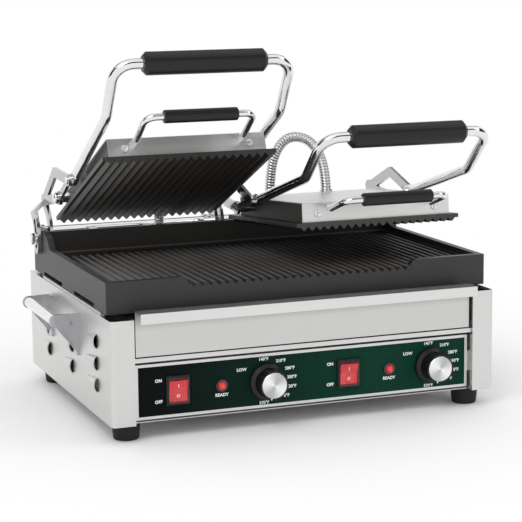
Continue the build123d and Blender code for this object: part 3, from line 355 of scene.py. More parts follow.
PANEL_BLACK: Colour = (0.001, 0.0012, 0.0015)
PANEL_GREEN: Colour = (0.002, 0.026, 0.014)
GRID_BLACK: Colour = (0.008, 0.012, 0.013)
GRID_GREEN: Colour = (0.010, 0.080, 0.050)
# Light grey painted highlight along the rib tips of the lower casting.
RIB_HIGHLIGHT: Colour = (0.115, 0.108, 0.100)
ROCKER_DEEP: Colour = (0.36, 0.002, 0.006)
ROCKER_BRIGHT: Colour = (0.72, 0.008, 0.02)
GLOW_DEEP: Colour = (0.14, 0.0, 0.001)
GLOW_BRIGHT: Colour = (0.50, 0.004, 0.012)
JEWEL_HEART: Colour = (0.95, 0.06, 0.04)
JEWEL_RIM: Colour = (0.42, 0.004, 0.006)
# Shaded and bright ends of the painted highlight on the knob caps.
SPUN_SHADE: Colour = (0.48, 0.48, 0.49)
SPUN_HIGHLIGHT: Colour = (0.97, 0.97, 0.98)
WHITE: Colour = (1.0, 1.0, 1.0)
OVERLAY = Finish(PANEL_GREEN, 0.45, 0.0, 0.0, 0.06)

ACROSS = (9.0, 1500.0, 1500.0)
FRONT_TO_BACK = (1500.0, 9.0, 1500.0)
CLOUDS = (3.0, 3.0, 5.0)
CLOUD_DETAIL = 1.0
STREAK_DETAIL = 5.0
STREAK_SHARE = 0.75
SPECK_DETAIL = 2.0
CAST_DETAIL = 3.0
BRUSH_MARKS = Pattern(0.86, 1.13, -0.06, 0.14)
WIPE_MARKS = Pattern(0.92, 1.08, -0.03, 0.06)
MOULDED = Pattern(0.85, 1.15, -0.05, 0.1, 0.15, 0.0001)
SAND_CAST = Pattern(0.8, 1.5, -0.06, 0.15, 0.3, 0.0002)
CAST_WALL = Pattern(0.75, 1.25, -0.14, 0.15, 0.3, 0.0002)
CAST_GRAIN = 900.0
WIPE_GRAIN = 60.0
EVEN_ZINC = (240.0, 240.0, 240.0)
EVEN_CONDUIT = (300.0, 300.0, 300.0)
ROCKER_CLOUDS = (180.0, 180.0, 60.0)
ROCKER_GLOW = 0.35
BOOT_ALPHA = 0.07
BOOT_GRAIN = 200.0
BOOT_MARKS = (0.06, 0.1)
ROUND_STEPS = 3
DISC_SIDES = 40
LETTER_STEPS = 3
WELD_GAP = 0.00001
LETTER_SWELL = 0.00017
LETTER_DEPTH = 0.00003

CARDS = (Card("card_front_high", (4.0, 0.9), (0.3, -1.9, 1.7)),
         Card("card_left", (1.5, 1.6), (-2.2, 0.3, 1.0)),
         Card("card_right", (1.5, 1.6), (2.1, -0.7, 1.0)),
         Card("card_back", (4.0, 0.8), (0.2, 1.5, 1.9)))
CARD_AIM = (0.0, 0.0, 0.2)
LIGHTS = (SoftLight("key", (-1.4, -1.3, 2.2), 1.4, 16.0),
          SoftLight("fill", (1.8, -1.0, 1.4), 1.2, 6.0))
LIGHT_AIM = (0.0, 0.0, 0.15)
SOFT_STRENGTH = 0.85
WHITE_STRENGTH = 1.0


def shade(colour: Colour, factor: float) -> Colour:
    """The same colour, darker or brighter."""
    return tuple(min(1.0, part * factor) for part in colour)


class Value:
    """A number on its way through a material, with ordinary arithmetic."""

    def __init__(self, sheet: "NodeSheet", socket: bpy.types.NodeSocket) -> None:
        """Remember the socket and the nodes that it belongs to."""
        self.sheet = sheet
        self.socket = socket

    def _with(self, kind: str, *others: Any) -> "Value":
        """Put this number through one operation, ahead of the others."""
        return self.sheet.maths(kind, self, *others)

    def __add__(self, other: Any) -> "Value":
        """This number plus another."""
        return self._with("ADD", other)

    __radd__ = __add__

    def __mul__(self, other: Any) -> "Value":
        """This number times another."""
        return self._with("MULTIPLY", other)

    __rmul__ = __mul__

    def __sub__(self, other: Any) -> "Value":
        """This number less another."""
        return self._with("SUBTRACT", other)

    def __rsub__(self, other: Any) -> "Value":
        """Another number less this one."""
        return self.sheet.maths("SUBTRACT", other, self)

    def __gt__(self, other: Any) -> "Value":
        """One where this number is the higher, and nought elsewhere."""
        return self._with("GREATER_THAN", other)

    def __lt__(self, other: Any) -> "Value":
        """One where this number is the lower, and nought elsewhere."""
        return self._with("LESS_THAN", other)

    def __abs__(self) -> "Value":
        """This number without its sign."""
        return self._with("ABSOLUTE")


class NodeSheet:
    """The nodes of one material or of the world, and the ways to add to them."""

    def __init__(self, tree: bpy.types.NodeTree) -> None:
        """Work on a set of nodes."""
        self.tree = tree

    def node(self, kind: str, inputs: dict[Any, Any] | None = None, **settings: Any) -> bpy.types.Node:
        """Add one node, set it up and connect it.

        Args:
            kind: the node's type.
            inputs: what goes into each input, a Value or a constant.
            settings: the node's own properties, which are set first.

        Returns:
            The new node.
        """
        node = self.tree.nodes.new(kind)
        for key, value in settings.items():
            setattr(node, key, value)
        for key, value in (inputs or {}).items():
            if isinstance(value, Value):
                self.tree.links.new(value.socket, node.inputs[key])
            else:
                node.inputs[key].default_value = value
        return node

    def first(self, kind: str, inputs: dict[Any, Any] | None = None, **settings: Any) -> Value:
        """Add one node and take what its first output gives."""
        return Value(self, self.node(kind, inputs, **settings).outputs[0])

    def maths(self, kind: str, *parts: Any) -> Value:
        """Join numbers by one operation."""
        return self.first("ShaderNodeMath", dict(enumerate(parts)), operation=kind)

    def limit(self, value: Value) -> Value:
        """Hold a number between nought and one."""
        return self.maths("MINIMUM", self.maths("MAXIMUM", value, 0.0), 1.0)

    def reach(self, across: Value, along: Value) -> Value:
        """How far a point lies from where both of its distances are nought."""
        return self.maths("SQRT", across * across + along * along)

    def eye_rays(self) -> Value:
        """One for rays that end in the eye, straight, mirrored or passed through.

        Returns:
            The number, nought for the light that falls on the grill.
        """
        rays = self.node("ShaderNodeLightPath").outputs
        kinds = ("Camera", "Glossy", "Transmission")
        straight, mirrored, passed = (Value(self, rays[f"Is {kind} Ray"]) for kind in kinds)
        return self.maths("MAXIMUM", self.maths("MAXIMUM", straight, mirrored), passed)


class Recipe(NodeSheet):
    """One material and the nodes that make its look."""

    def __init__(self, name: str, finish: Finish) -> None:
        """Start a material from its plain finish.

        Args:
            name: the material's name.
            finish: its colour and how it takes the light.
        """
        self.material = bpy.data.materials.new(name)
        self.material.use_nodes = True
        super().__init__(self.material.node_tree)
        self.shader = self.tree.nodes["Principled BSDF"]
        self.shader.inputs["Base Color"].default_value = (*finish.colour, 1.0)
        self.shader.inputs["Roughness"].default_value = finish.roughness
        self.shader.inputs["Metallic"].default_value = finish.metallic
        self.shader.inputs["Coat Weight"].default_value = finish.coat
        self.shader.inputs["Specular IOR Level"].default_value = finish.shine

    def position(self) -> Value:
        """The point on the piece, in metres, as the grill stands at rest."""
        return Value(self, self.node("ShaderNodeTexCoord").outputs["Object"])

    def axes(self) -> tuple[Value, Value, Value]:
        """The three coordinates of the point on the piece."""
        node = self.node("ShaderNodeSeparateXYZ", {0: self.position()})
        return tuple(Value(self, socket) for socket in node.outputs)

    def stretched(self, grain: Sequence[float]) -> Value:
        """The point with each axis scaled on its own, which turns a noise into streaks."""
        inputs = {0: self.position(), 1: tuple(grain)}
        return self.first("ShaderNodeVectorMath", inputs, operation="MULTIPLY")

    def noise(self, grain: Sequence[float], detail: float) -> Value:
        """A cloudy number between about 0 and 1."""
        inputs = {"Vector": self.stretched(grain), "Scale": 1.0, "Detail": detail}
        return self.first("ShaderNodeTexNoise", inputs)

    def speckle(self, grain: float, detail: float) -> Value:
        """A noise of the same size along every axis."""
        return self.noise((grain, grain, grain), detail)

    def blend(self, share: Any, first: Any, second: Any) -> Value:
        """Mix two colours.

        Args:
            share: how much of the second colour shows, from nought to one.
            first: a colour, or a Value that carries one.
            second: the same for the other colour.

        Returns:
            The mixed colour.
        """
        ends = [end if isinstance(end, Value) else (*end, 1.0) for end in (first, second)]
        node = self.node("ShaderNodeMix", {0: share, 6: ends[0], 7: ends[1]}, data_type="RGBA")
        return Value(self, node.outputs[2])

    def tint(self, share: Any, colour: Colour, dark: float, light: float) -> Value:
        """One colour between a darker and a lighter shade of itself."""
        return self.blend(share, shade(colour, dark), shade(colour, light))

    def feed(self, socket: str, value: Value) -> None:
        """Drive one input of the shader."""
        self.tree.links.new(value.socket, self.shader.inputs[socket])

    def roughen(self, height: Value, pattern: Pattern) -> None:
        """Give the surface a very shallow texture."""
        inputs = {"Height": height, "Strength": pattern.bump, "Distance": pattern.depth}
        self.feed("Normal", self.first("ShaderNodeBump", inputs))

    def vary(self, finish: Finish, pattern: Pattern, share: Value, noise: Value) -> None:
        """Vary tone, roughness and height about a plain finish.

        Args:
            finish: the plain finish.
            pattern: how far each of them varies.
            share: the noise that the tone follows.
            noise: the noise that the roughness and the height follow.
        """
        self.feed("Base Color", self.tint(share, finish.colour, pattern.dark, pattern.light))
        self.feed("Roughness", noise * pattern.rough_by + (finish.roughness + pattern.rough_from))
        if pattern.bump:
            self.roughen(noise, pattern)


class Finishes:
    """Every material of the grill, made once."""

    SPECIAL = {"lower_casting": "lower_cast", "indicator_lamps": "lamp",
               "side_panel_left": "stainless_side", "side_panel_right": "stainless_side",
               "carry_brackets": "plated_bar", "drip_tray": "stainless_tray",
               "arm_frames_left": "plated_bar", "arm_frames_right": "plated_bar",
               "knob_cap_left": "spun_left", "knob_cap_right": "spun_right"}

    def __init__(self, panel: PanelSizes) -> None:
        """Make every material.

        Args:
            panel: where the lamps and knobs sit, which their materials follow.
        """
        self.panel = panel
        self.made: dict[str, bpy.types.Material] = {
            "stainless": self.brushed("stainless", BRUSHED, ACROSS),
            "stainless_side": self.brushed("stainless_side", BRUSHED, FRONT_TO_BACK),
            "stainless_tray": self.tray(TrayZones()),
            "zinc_steel": self.brushed("zinc_steel", ZINC, EVEN_ZINC),
            "chrome": self.polished("chrome", POLISHED),
            # Darker copy of the chrome: painted shade for dark reflections.
            "plated_bar": self.polished("plated_bar", DIMMED_CHROME),
            "cast": self.upper_cast(),
            "lower_cast": self.lower_cast(CastZones()),
            "black_plastic": self.grained("black_plastic", SATIN_BLACK, 1400.0),
            "rubber": self.grained("rubber", SOFT_RUBBER, 900.0),
            "ceramic": self.grained("ceramic", GLAZED, 500.0),
            "red": self.lens(),
            "lamp": self.lamp(JewelSizes()),
            "overlay": self.overlay(GridPrint()),
            "ink": self.grained("ink", INK, 700.0),
            "boot": self.boot(),
            "conduit": self.brushed("conduit", CONDUIT, EVEN_CONDUIT),
        }
        for side in Side:
            self.made["spun_" + side.tag] = self.spun(side, Turning())

    def brushed(self, name: str, finish: Finish, grain: Sequence[float]) -> bpy.types.Material:
        """Metal with fine streaks along its least scaled axis.

        Args:
            name: the material's name.
            finish: the plain metal.
            grain: how often the streaks change along each axis.

        Returns:
            The material.
        """
        recipe = Recipe(name, finish)
        streaks = recipe.noise(grain, STREAK_DETAIL)
        broad = recipe.noise(CLOUDS, CLOUD_DETAIL)
        share = streaks * STREAK_SHARE + broad * (1.0 - STREAK_SHARE)
        recipe.vary(finish, BRUSH_MARKS, share, streaks)
        return recipe.material

    def tray(self, zones: TrayZones) -> bpy.types.Material:
        """Brushed tray front with painted shade, darker than its folded lip, which carries a painted
        highlight, and darkest in a painted shadow just under the lip.

        Args:
            zones: where the front turns into the lip, and the tones of the painted highlight, shade and
                shadow.

        Returns:
            The material.
        """
        recipe = Recipe("stainless_tray", BRUSHED)
        _, y, z = recipe.axes()
        streaks = recipe.noise(ACROSS, STREAK_DETAIL)
        # Painted light: the lip is painted lighter as a highlight, the plate darker as shade, and darkest
        # just under the lip as a painted shadow.
        plate = y > zones.lip_back
        under = recipe.limit(1.0 - (zones.lip_foot - z) * zones.shadow_rate)
        shaded_plate = recipe.tint(under, BRUSHED.colour, zones.plate_shade_tone, zones.shadow_tone)
        metal = recipe.blend(plate, shade(BRUSHED.colour, zones.lip_highlight_tone), shaded_plate)
        streaked = shade(BRUSHED.colour, zones.streak_tone)
        recipe.feed("Base Color", recipe.blend(streaks * zones.streak_share, metal, streaked))
        recipe.feed("Roughness", zones.rough_from + streaks * zones.rough_by)
        return recipe.material

    def polished(self, name: str, finish: Finish) -> bpy.types.Material:
        """Plating with the faintest wipe marks, bright for the chrome and painted darker as shade for its
        darker copy.

        Args:
            name: the material's name.
            finish: the plain plating.

        Returns:
            The material.
        """
        recipe = Recipe(name, finish)
        wipes = recipe.speckle(WIPE_GRAIN, SPECK_DETAIL)
        recipe.vary(finish, WIPE_MARKS, wipes, wipes)
        return recipe.material

    def grained(self, name: str, finish: Finish, grain: float) -> bpy.types.Material:
        """Moulded surface with a fine even texture.

        Args:
            name: the material's name.
            finish: the plain surface.
            grain: how often the texture changes, in specks a metre.

        Returns:
            The material.
        """
        recipe = Recipe(name, finish)
        speck = recipe.speckle(grain, SPECK_DETAIL)
        recipe.vary(finish, MOULDED, speck, speck)
        return recipe.material

    def upper_cast(self) -> bpy.types.Material:
        """Seasoned cast metal of the upper plates.

        Returns:
            The material.
        """
        recipe = Recipe("cast", CAST_TOP)
        speck = recipe.speckle(CAST_GRAIN, CAST_DETAIL)
        recipe.vary(CAST_TOP, SAND_CAST, speck, speck)
        return recipe.material

    def lower_cast(self, zones: CastZones) -> bpy.types.Material:
        """Grey satin outer walls, with the seasoned ribs and inner walls near black, and a painted
        highlight along the rib tips.

        Args:
            zones: where the inner part starts, where the rib tips carry their painted highlight, and the
                tones.

        Returns:
            The material.
        """
        recipe = Recipe("lower_cast", CAST_SIDE)
        x, y, z = recipe.axes()
        inside = (abs(x) < zones.inner_half) * (y > zones.inner_front) * (z > zones.inner_floor)
        speck = recipe.speckle(CAST_GRAIN, CAST_DETAIL)
        walls = recipe.tint(speck, CAST_SIDE.colour, CAST_WALL.dark, CAST_WALL.light)
        # Painted highlight: a thin band at the rib tips is painted light grey.
        lit_rib_tips = recipe.limit((z - zones.rib_highlight_from) * zones.rib_highlight_rate) * (z < zones.rib_highlight_to)
        seasoned = recipe.tint(speck, CAST_TOP.colour, zones.seasoned_dark, zones.seasoned_light)
        ribs = recipe.blend(lit_rib_tips, seasoned, RIB_HIGHLIGHT)
        recipe.feed("Base Color", recipe.blend(inside, walls, ribs))
        recipe.feed("Roughness", speck * CAST_WALL.rough_by + (CAST_SIDE.roughness + CAST_WALL.rough_from))
        recipe.roughen(speck, CAST_WALL)
        return recipe.material

    def lens(self) -> bpy.types.Material:
        """Red moulded rocker, lighter in patches as if lit from inside.

        Returns:
            The material.
        """
        recipe = Recipe("red", LENS_RED)
        cloud = recipe.noise(ROCKER_CLOUDS, CLOUD_DETAIL)
        recipe.feed("Base Color", recipe.blend(cloud, ROCKER_DEEP, ROCKER_BRIGHT))
        recipe.feed("Emission Color", recipe.blend(cloud, GLOW_DEEP, GLOW_BRIGHT))
        recipe.shader.inputs["Emission Strength"].default_value = ROCKER_GLOW
        return recipe.material

    def lamp(self, jewel: JewelSizes) -> bpy.types.Material:
        """Red jewel in a black collar.

        Args:
            jewel: the size of the lens inside the collar.

        Returns:
            The material.
        """
        recipe = Recipe("lamp", LENS_RED)
        x, _, z = recipe.axes()
        across = abs(x) - Side.RIGHT.controls_x * MM
        rise = z - self.panel.middle_z * MM
        reach = recipe.reach(across, rise)
        ring = reach > jewel.radius
        red = recipe.blend(reach * jewel.deepen, JEWEL_HEART, JEWEL_RIM)
        recipe.feed("Base Color", recipe.blend(ring, red, SATIN_BLACK.colour))
        return recipe.material

    def overlay(self, grid: GridPrint) -> bpy.types.Material:
        """Printed sheet, black at the left and dark green to the right, under a fine grid.

        Args:
            grid: the spacing of the grid and the run between the colours.

        Returns:
            The material.
        """
        recipe = Recipe("overlay", OVERLAY)
        x, _, z = recipe.axes()
        run = recipe.maths("SMOOTH_MAX", x * grid.run_slope + grid.run_middle, 0.0, grid.run_ease)
        run = recipe.maths("SMOOTH_MIN", run, 1.0, grid.run_ease)
        field = recipe.blend(run, PANEL_BLACK, PANEL_GREEN)
        upright = recipe.maths("FRACT", x * grid.per_metre) > grid.line_from
        level = recipe.maths("FRACT", z * grid.per_metre) > grid.line_from
        lines = recipe.maths("MAXIMUM", upright, level)
        bright = recipe.blend(run, GRID_BLACK, GRID_GREEN)
        recipe.feed("Base Color", recipe.blend(lines * grid.line_share, field, bright))
        return recipe.material

    def boot(self) -> bpy.types.Material:
        """Clear splash cover over a rocker.

        Returns:
            The material.
        """
        recipe = Recipe("boot", CLEAR_BOOT)
        recipe.shader.inputs["Alpha"].default_value = BOOT_ALPHA
        rough_from, rough_by = BOOT_MARKS
        recipe.feed("Roughness", recipe.speckle(BOOT_GRAIN, CLOUD_DETAIL) * rough_by + rough_from)
        return recipe.material

    def spun(self, side: Side, turning: Turning) -> bpy.types.Material:
        """Turned disc with a painted highlight that runs out from its middle in bright wedges.

        Args:
            side: the side whose knob it caps.
            turning: the wedges and rings.

        Returns:
            The material.
        """
        recipe = Recipe("spun_" + side.tag, SPUN)
        x, _, z = recipe.axes()
        across = x - (side.controls_x + self.panel.knob_dx) * MM
        rise = z - self.panel.middle_z * MM
        angle = recipe.maths("ARCTAN2", rise, across)
        reach = recipe.reach(across, rise)
        # Painted highlight: bright and shaded wedges round the middle stand in for the disc's reflections.
        highlight_wedge = recipe.maths("COSINE", angle * turning.wedges + turning.wedge_turn) * 0.5 + 0.5
        turned = recipe.maths("SINE", reach * turning.rings) * turning.ring_share
        share = highlight_wedge * turning.wedge_share + turned
        recipe.feed("Base Color", recipe.blend(share, SPUN_SHADE, SPUN_HIGHLIGHT))
        return recipe.material

    def of_node(self, name: str, slot: str) -> bpy.types.Material:
        """The material to show on one piece of the frame, from its name or its slot."""
        return self.made[self.SPECIAL.get(name, slot)]


class Bench:
    """Makes new pieces with the modelling tools and leaves their place in the mesh."""

    def __init__(self, finishes: Finishes) -> None:
        """Keep the materials at hand."""
        self.finishes = finishes

    def pick(self, *objects: bpy.types.Object) -> None:
        """Select only some objects, the last one active.

        Args:
            objects: the objects to select.
        """
        bpy.ops.object.select_all(action="DESELECT")
        for obj in objects:
            obj.select_set(True)
            bpy.context.view_layer.objects.active = obj

    def named(self, name: str) -> bpy.types.Object:
        """Name the object that was just made.

        Args:
            name: its name.

        Returns:
            The object.
        """
        obj = bpy.context.active_object
        obj.name = name
        return obj

    def settle(self, obj: bpy.types.Object, matrix: Matrix) -> bpy.types.Object:
        """Put an object at a place and write that place into its mesh.

        Args:
            obj: the object.
            matrix: its place, turn and size.

        Returns:
            The same object, back at the origin with its mesh in place.
        """
        obj.matrix_world = matrix
        bpy.context.view_layer.update()
        self.pick(obj)
        bpy.ops.object.transform_apply(location=True, rotation=True, scale=True)
        return obj

    def soften(self, obj: bpy.types.Object, width: float) -> None:
        """Round the sharp edges of an object.

        Args:
            obj: the object.
            width: how far the rounding reaches, in millimetres.
        """
        modifier = obj.modifiers.new("edges", "BEVEL")
        modifier.width = width * MM
        modifier.segments = ROUND_STEPS
        modifier.limit_method = "ANGLE"
        modifier.angle_limit = EDGE_ANGLE
        self.pick(obj)
        bpy.ops.object.modifier_apply(modifier=modifier.name)
        bpy.ops.object.shade_smooth_by_angle(angle=EDGE_ANGLE)

    def disc(self, name: str, radius: float, depth: float, edge: float) -> bpy.types.Object:
        """Short round bar along Z with rounded rims, in millimetres.

        Args:
            name: its name.
            radius: its radius.
            depth: its length.
            edge: how far its rims are rounded.

        Returns:
            The bar.
        """
        bpy.ops.object.select_all(action="DESELECT")
        bpy.ops.mesh.primitive_cylinder_add(vertices=DISC_SIDES, radius=radius * MM, depth=depth * MM)
        obj = self.named(name)
        self.soften(obj, edge)
        return obj

    def block(self, name: str, size: Sequence[float], edge: float) -> bpy.types.Object:
        """Box with rounded edges, in millimetres.

        Args:
            name: its name.
            size: its size along each axis.
            edge: how far its edges are rounded.

        Returns:
            The box.
        """
        bpy.ops.object.select_all(action="DESELECT")
        bpy.ops.mesh.primitive_cube_add(size=1.0)
        obj = self.named(name)
        self.settle(obj, Matrix.Diagonal((*[part * MM for part in size], 1.0)))
        self.soften(obj, edge)
        return obj

    def combine(self, obj: bpy.types.Object, tool: bpy.types.Object, way: str) -> None:
        """Work one object's shape into another and drop the first.

        Args:
            obj: the object that stays.
            tool: the object whose shape is used up.
            way: DIFFERENCE to cut with it, or UNION to add it.
        """
        modifier = obj.modifiers.new("recess", "BOOLEAN")
        modifier.operation = way
        modifier.object = tool
        self.pick(obj)
        bpy.ops.object.modifier_apply(modifier=modifier.name)
        bpy.data.objects.remove(tool)

    def join(self, name: str, objects: Sequence[bpy.types.Object]) -> bpy.types.Object:
        """Make one object of several.

        Args:
            name: its name.
            objects: the objects that it's made of.

        Returns:
            The joined object.
        """
        self.pick(*objects)
        bpy.ops.object.join()
        return self.named(name)

    def words(self, text: str, size: float) -> bpy.types.Object:
        """Raised print facing up, in millimetres.

        Args:
            text: what it says.
            size: the height of its lines.

        Returns:
            The print as a mesh.
        """
        bpy.ops.object.select_all(action="DESELECT")
        bpy.ops.object.text_add()
        obj = bpy.context.active_object
        obj.data.body = text
        obj.data.size = size * MM
        obj.data.align_x = "CENTER"
        obj.data.align_y = "CENTER"
        obj.data.offset = LETTER_SWELL
        obj.data.extrude = LETTER_DEPTH
        obj.data.resolution_u = LETTER_STEPS
        bpy.ops.object.convert(target="MESH")
        obj = bpy.context.active_object
        bpy.ops.object.mode_set(mode="EDIT")
        bpy.ops.mesh.select_all(action="SELECT")
        bpy.ops.mesh.remove_doubles(threshold=WELD_GAP)
        bpy.ops.object.mode_set(mode="OBJECT")
        return obj

    def finish(self, obj: bpy.types.Object, material: str, body: str, slot: str) -> None:
        """Give a piece its material and the body that it moves with.

        Args:
            obj: the piece.
            material: the name of the material to show.
            body: the moving body that carries it.
            slot: the kind of material that it's made of; not used.
        """
        obj.data.materials.clear()
        obj.data.materials.append(self.finishes.made[material])
        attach(obj, body)
        log.info("made %s on %s", obj.name, body)


class ControlPanel:
    """Print, boots and pointers of the two sets of controls."""

    DIAL = (("LOW", -30.0, 15.5), ("140°F", -3.5, 25.6), ("210°F", 17.5, 22.0),
            ("280°F", 28.5, 12.5), ("350°F", 31.0, 2.0), ("430°F", 30.5, -9.0),
            ("500°F", 22.0, -19.0), ("570°F", -3.0, -25.0))

    def __init__(self, bench: Bench, sizes: PanelSizes) -> None:
        """Keep the tools and the sizes."""
        self.bench = bench
        self.sizes = sizes

    def label(self, text: str, x: float, z: float) -> bpy.types.Object:
        """One printed word on the panel."""
        spot = Matrix.Translation(at(x, self.sizes.face_y - self.sizes.print_lift, z)) @ FACING_FRONT
        return self.bench.settle(self.bench.words(text, self.sizes.letters), spot)

    def printing(self, side: Side) -> None:
        """Words round one set of controls.

        Args:
            side: the side that the controls belong to.
        """
        sizes = self.sizes
        switch_x = side.controls_x + sizes.rocker_dx + sizes.switch_words_dx
        words = [self.label("ON", switch_x, sizes.middle_z + sizes.switch_words_dz),
                 self.label("OFF", switch_x, sizes.middle_z - sizes.switch_words_dz),
                 self.label("READY", side.controls_x, sizes.middle_z + sizes.ready_dz)]
        for text, dx, dz in self.DIAL:
            words.append(self.label(text, side.controls_x + sizes.knob_dx + dx, sizes.middle_z + dz))
        obj = self.bench.join("panel_print_" + side.tag, words)
        self.bench.finish(obj, "ink", "base", "overlay")

    def boot(self, side: Side) -> None:
        """Clear rounded cover over a rocker.

        Args:
            side: the side that the rocker belongs to.
        """
        sizes = self.sizes
        obj = self.bench.block("boot_" + side.tag, sizes.boot, sizes.boot_edge)
        middle = at(side.controls_x + sizes.rocker_dx, sizes.boot_y, sizes.middle_z)
        self.bench.settle(obj, Matrix.Translation(middle))
        self.bench.finish(obj, "boot", "base", "red")

    def marks(self, side: Side) -> None:
        """Line and ring moulded into the rocker's face.

        Args:
            side: the side that the rocker belongs to.
        """
        sizes = self.sizes
        axle = at(side.controls_x + sizes.rocker_dx, sizes.axle_y, sizes.middle_z)
        turn = Matrix.Rotation(math.radians(sizes.rocker_lean), 4, "X")
        signs = []
        for text, dz in (("I", sizes.marks_dz), ("O", -sizes.marks_dz)):
            obj = self.bench.words(text, sizes.letters)
            local = Matrix.Translation(Vector((0.0, -sizes.rocker_reach * MM, dz * MM)))
            signs.append(self.bench.settle(obj, Matrix.Translation(axle) @ turn @ local @ FACING_FRONT))
        obj = self.bench.join("rocker_marks_" + side.tag, signs)
        self.bench.finish(obj, "ink", "rocker_" + side.tag, "red")

    def pointer(self, side: Side) -> None:
        """White line on the face of a knob.

        Args:
            side: the side that the knob belongs to.
        """
        sizes = self.sizes
        obj = self.bench.block("knob_pointer_" + side.tag, sizes.pointer, sizes.pointer_edge)
        turn = Matrix.Rotation(math.radians(sizes.pointer_turn), 4, "Y")
        face_y = sizes.knob_front_y + sizes.pointer_sunk
        middle = at(side.controls_x + sizes.knob_dx, face_y, sizes.middle_z)
        out = Matrix.Translation(Vector((0.0, 0.0, -sizes.pointer_out * MM)))
        self.bench.settle(obj, Matrix.Translation(middle) @ turn @ out)
        self.bench.finish(obj, "ink", "knob_" + side.tag, "black_plastic")

    def build(self) -> None:
        """Dress both sets of controls."""
        for side in Side:
            self.printing(side)
            self.boot(side)
            self.marks(side)
            self.pointer(side)


class UpperPlate:
    """Screws on the front of one upper plate's cover."""

    def __init__(self, bench: Bench, side: Side, sizes: CoverScrewSizes) -> None:
        """Get ready to dress one plate.

        Args:
            bench: the tools.
            side: the side that the plate belongs to.
            sizes: the sizes of its screws.
        """
        self.bench = bench
        self.side = side
        self.sizes = sizes

    def cross(self) -> bpy.types.Object:
        """Cutter for a cross recess.

        Returns:
            The cutter, at the height of a screw's head.
        """
        sizes = self.sizes
        level = (sizes.recess_long, sizes.recess_wide, sizes.recess_deep)
        upright = (sizes.recess_wide, sizes.recess_long, sizes.recess_deep)
        tool = self.bench.block("arm", level, sizes.recess_edge)
        self.bench.combine(tool, self.bench.block("arm", upright, sizes.recess_edge), "UNION")
        return self.bench.settle(tool, Matrix.Translation(Vector((0.0, 0.0, sizes.recess_lift * MM))))

    def build(self) -> None:
        """Two round-headed screws with cross recesses."""
        sizes = self.sizes
        heads = []
        for offset in (-sizes.apart, sizes.apart):
            head = self.bench.disc("screw", sizes.head_radius, sizes.head_height, sizes.head_edge)
            self.bench.combine(head, self.cross(), "DIFFERENCE")
            x = self.side.value * sizes.plate_x + offset
            spot = STANCES[self.side].place(x, sizes.front + sizes.head_lift, sizes.up)
            heads.append(self.bench.settle(head, spot @ FACING_FRONT))
        obj = self.bench.join("cover_screws_" + self.side.tag, heads)
        self.bench.finish(obj, "chrome", "plate_" + self.side.tag, "chrome")


class Conduit:
    """Flexible steel conduit from an upper plate down to the base."""

    def __init__(self, bench: Bench, side: Side, sizes: ConduitSizes) -> None:
        """Get ready to make one conduit.

        Args:
            bench: the tools.
            side: the side that the conduit belongs to.
            sizes: its sizes.
        """
        self.bench = bench
        self.side = side
        self.sizes = sizes

    def spline_points(self) -> list[Vector]:
        """Points along the smooth line through the route.

        Returns:
            The points in metres, from the plate down to the base.
        """
        curve = bpy.data.curves.new("route_" + self.side.tag, "CURVE")
        curve.dimensions = "3D"
        curve.resolution_u = self.sizes.fineness
        spline = curve.splines.new("NURBS")
        route = CONDUIT_ROUTES[self.side]
        spline.points.add(len(route) - 1)
        for point, place in zip(spline.points, route):
            point.co = (*place, 1.0)
        spline.order_u = 3
        spline.use_endpoint_u = True
        holder = bpy.data.objects.new("route_" + self.side.tag, curve)
        bpy.context.scene.collection.objects.link(holder)
        mesh = bpy.data.meshes.new_from_object(holder)
        points = [vertex.co.copy() for vertex in mesh.vertices]
        bpy.data.meshes.remove(mesh)
        bpy.data.objects.remove(holder)
        bpy.data.curves.remove(curve)
        return points

    def rings(self, points: Sequence[Vector]) -> list[Vector]:
        """Corners of a wound tube, ring after ring.

        Args:
            points: the middle of each ring, in metres.

        Returns:
            The corners in metres.
        """
        sizes = self.sizes
        corners: list[Vector] = []
        side = Vector((1.0, 0.0, 0.0))
        travelled = 0.0
        for index, point in enumerate(points):
            before = points[max(index - 1, 0)]
            after = points[min(index + 1, len(points) - 1)]
            along = (after - before).normalized()
            side = (side - along * side.dot(along)).normalized()
            other = along.cross(side)
            travelled += (point - before).length / MM
            for step in range(sizes.facets):
                angle = math.tau * step / sizes.facets
                wind = math.cos(math.tau * travelled / sizes.pitch + angle)
                radius = (sizes.radius - sizes.groove * (0.5 - 0.5 * wind)) * MM
                corners.append(point + side * math.cos(angle) * radius + other * math.sin(angle) * radius)
        return corners

    def skin(self, rings: int) -> list[tuple[int, ...]]:
        """Faces between the rings and over both ends.

        Args:
            rings: how many rings there are.

        Returns:
            The numbers of each face's corners.
        """
        facets = self.sizes.facets
        faces = []
        for ring in range(rings - 1):
            for step in range(facets):
                low = ring * facets + step
                high = ring * facets + (step + 1) % facets
                faces.append((low, high, high + facets, low + facets))
        faces.append(tuple(reversed(range(facets))))
        faces.append(tuple(range((rings - 1) * facets, rings * facets)))
        return faces

    def build(self) -> None:
        """Make the conduit and hide the frame's own conduit piece."""
        points = self.spline_points()
        mesh = bpy.data.meshes.new("conduit_" + self.side.tag)
        mesh.from_pydata([tuple(corner) for corner in self.rings(points)], [], self.skin(len(points)))
        obj = bpy.data.objects.new("wound_conduit_" + self.side.tag, mesh)
        bpy.context.scene.collection.objects.link(obj)
        self.bench.pick(obj)
        bpy.ops.object.shade_smooth_by_angle(angle=WOUND_ANGLE)
        mesh.materials.append(self.bench.finishes.made["conduit"])
        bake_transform(obj)
        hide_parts("conduit_" + self.side.tag)


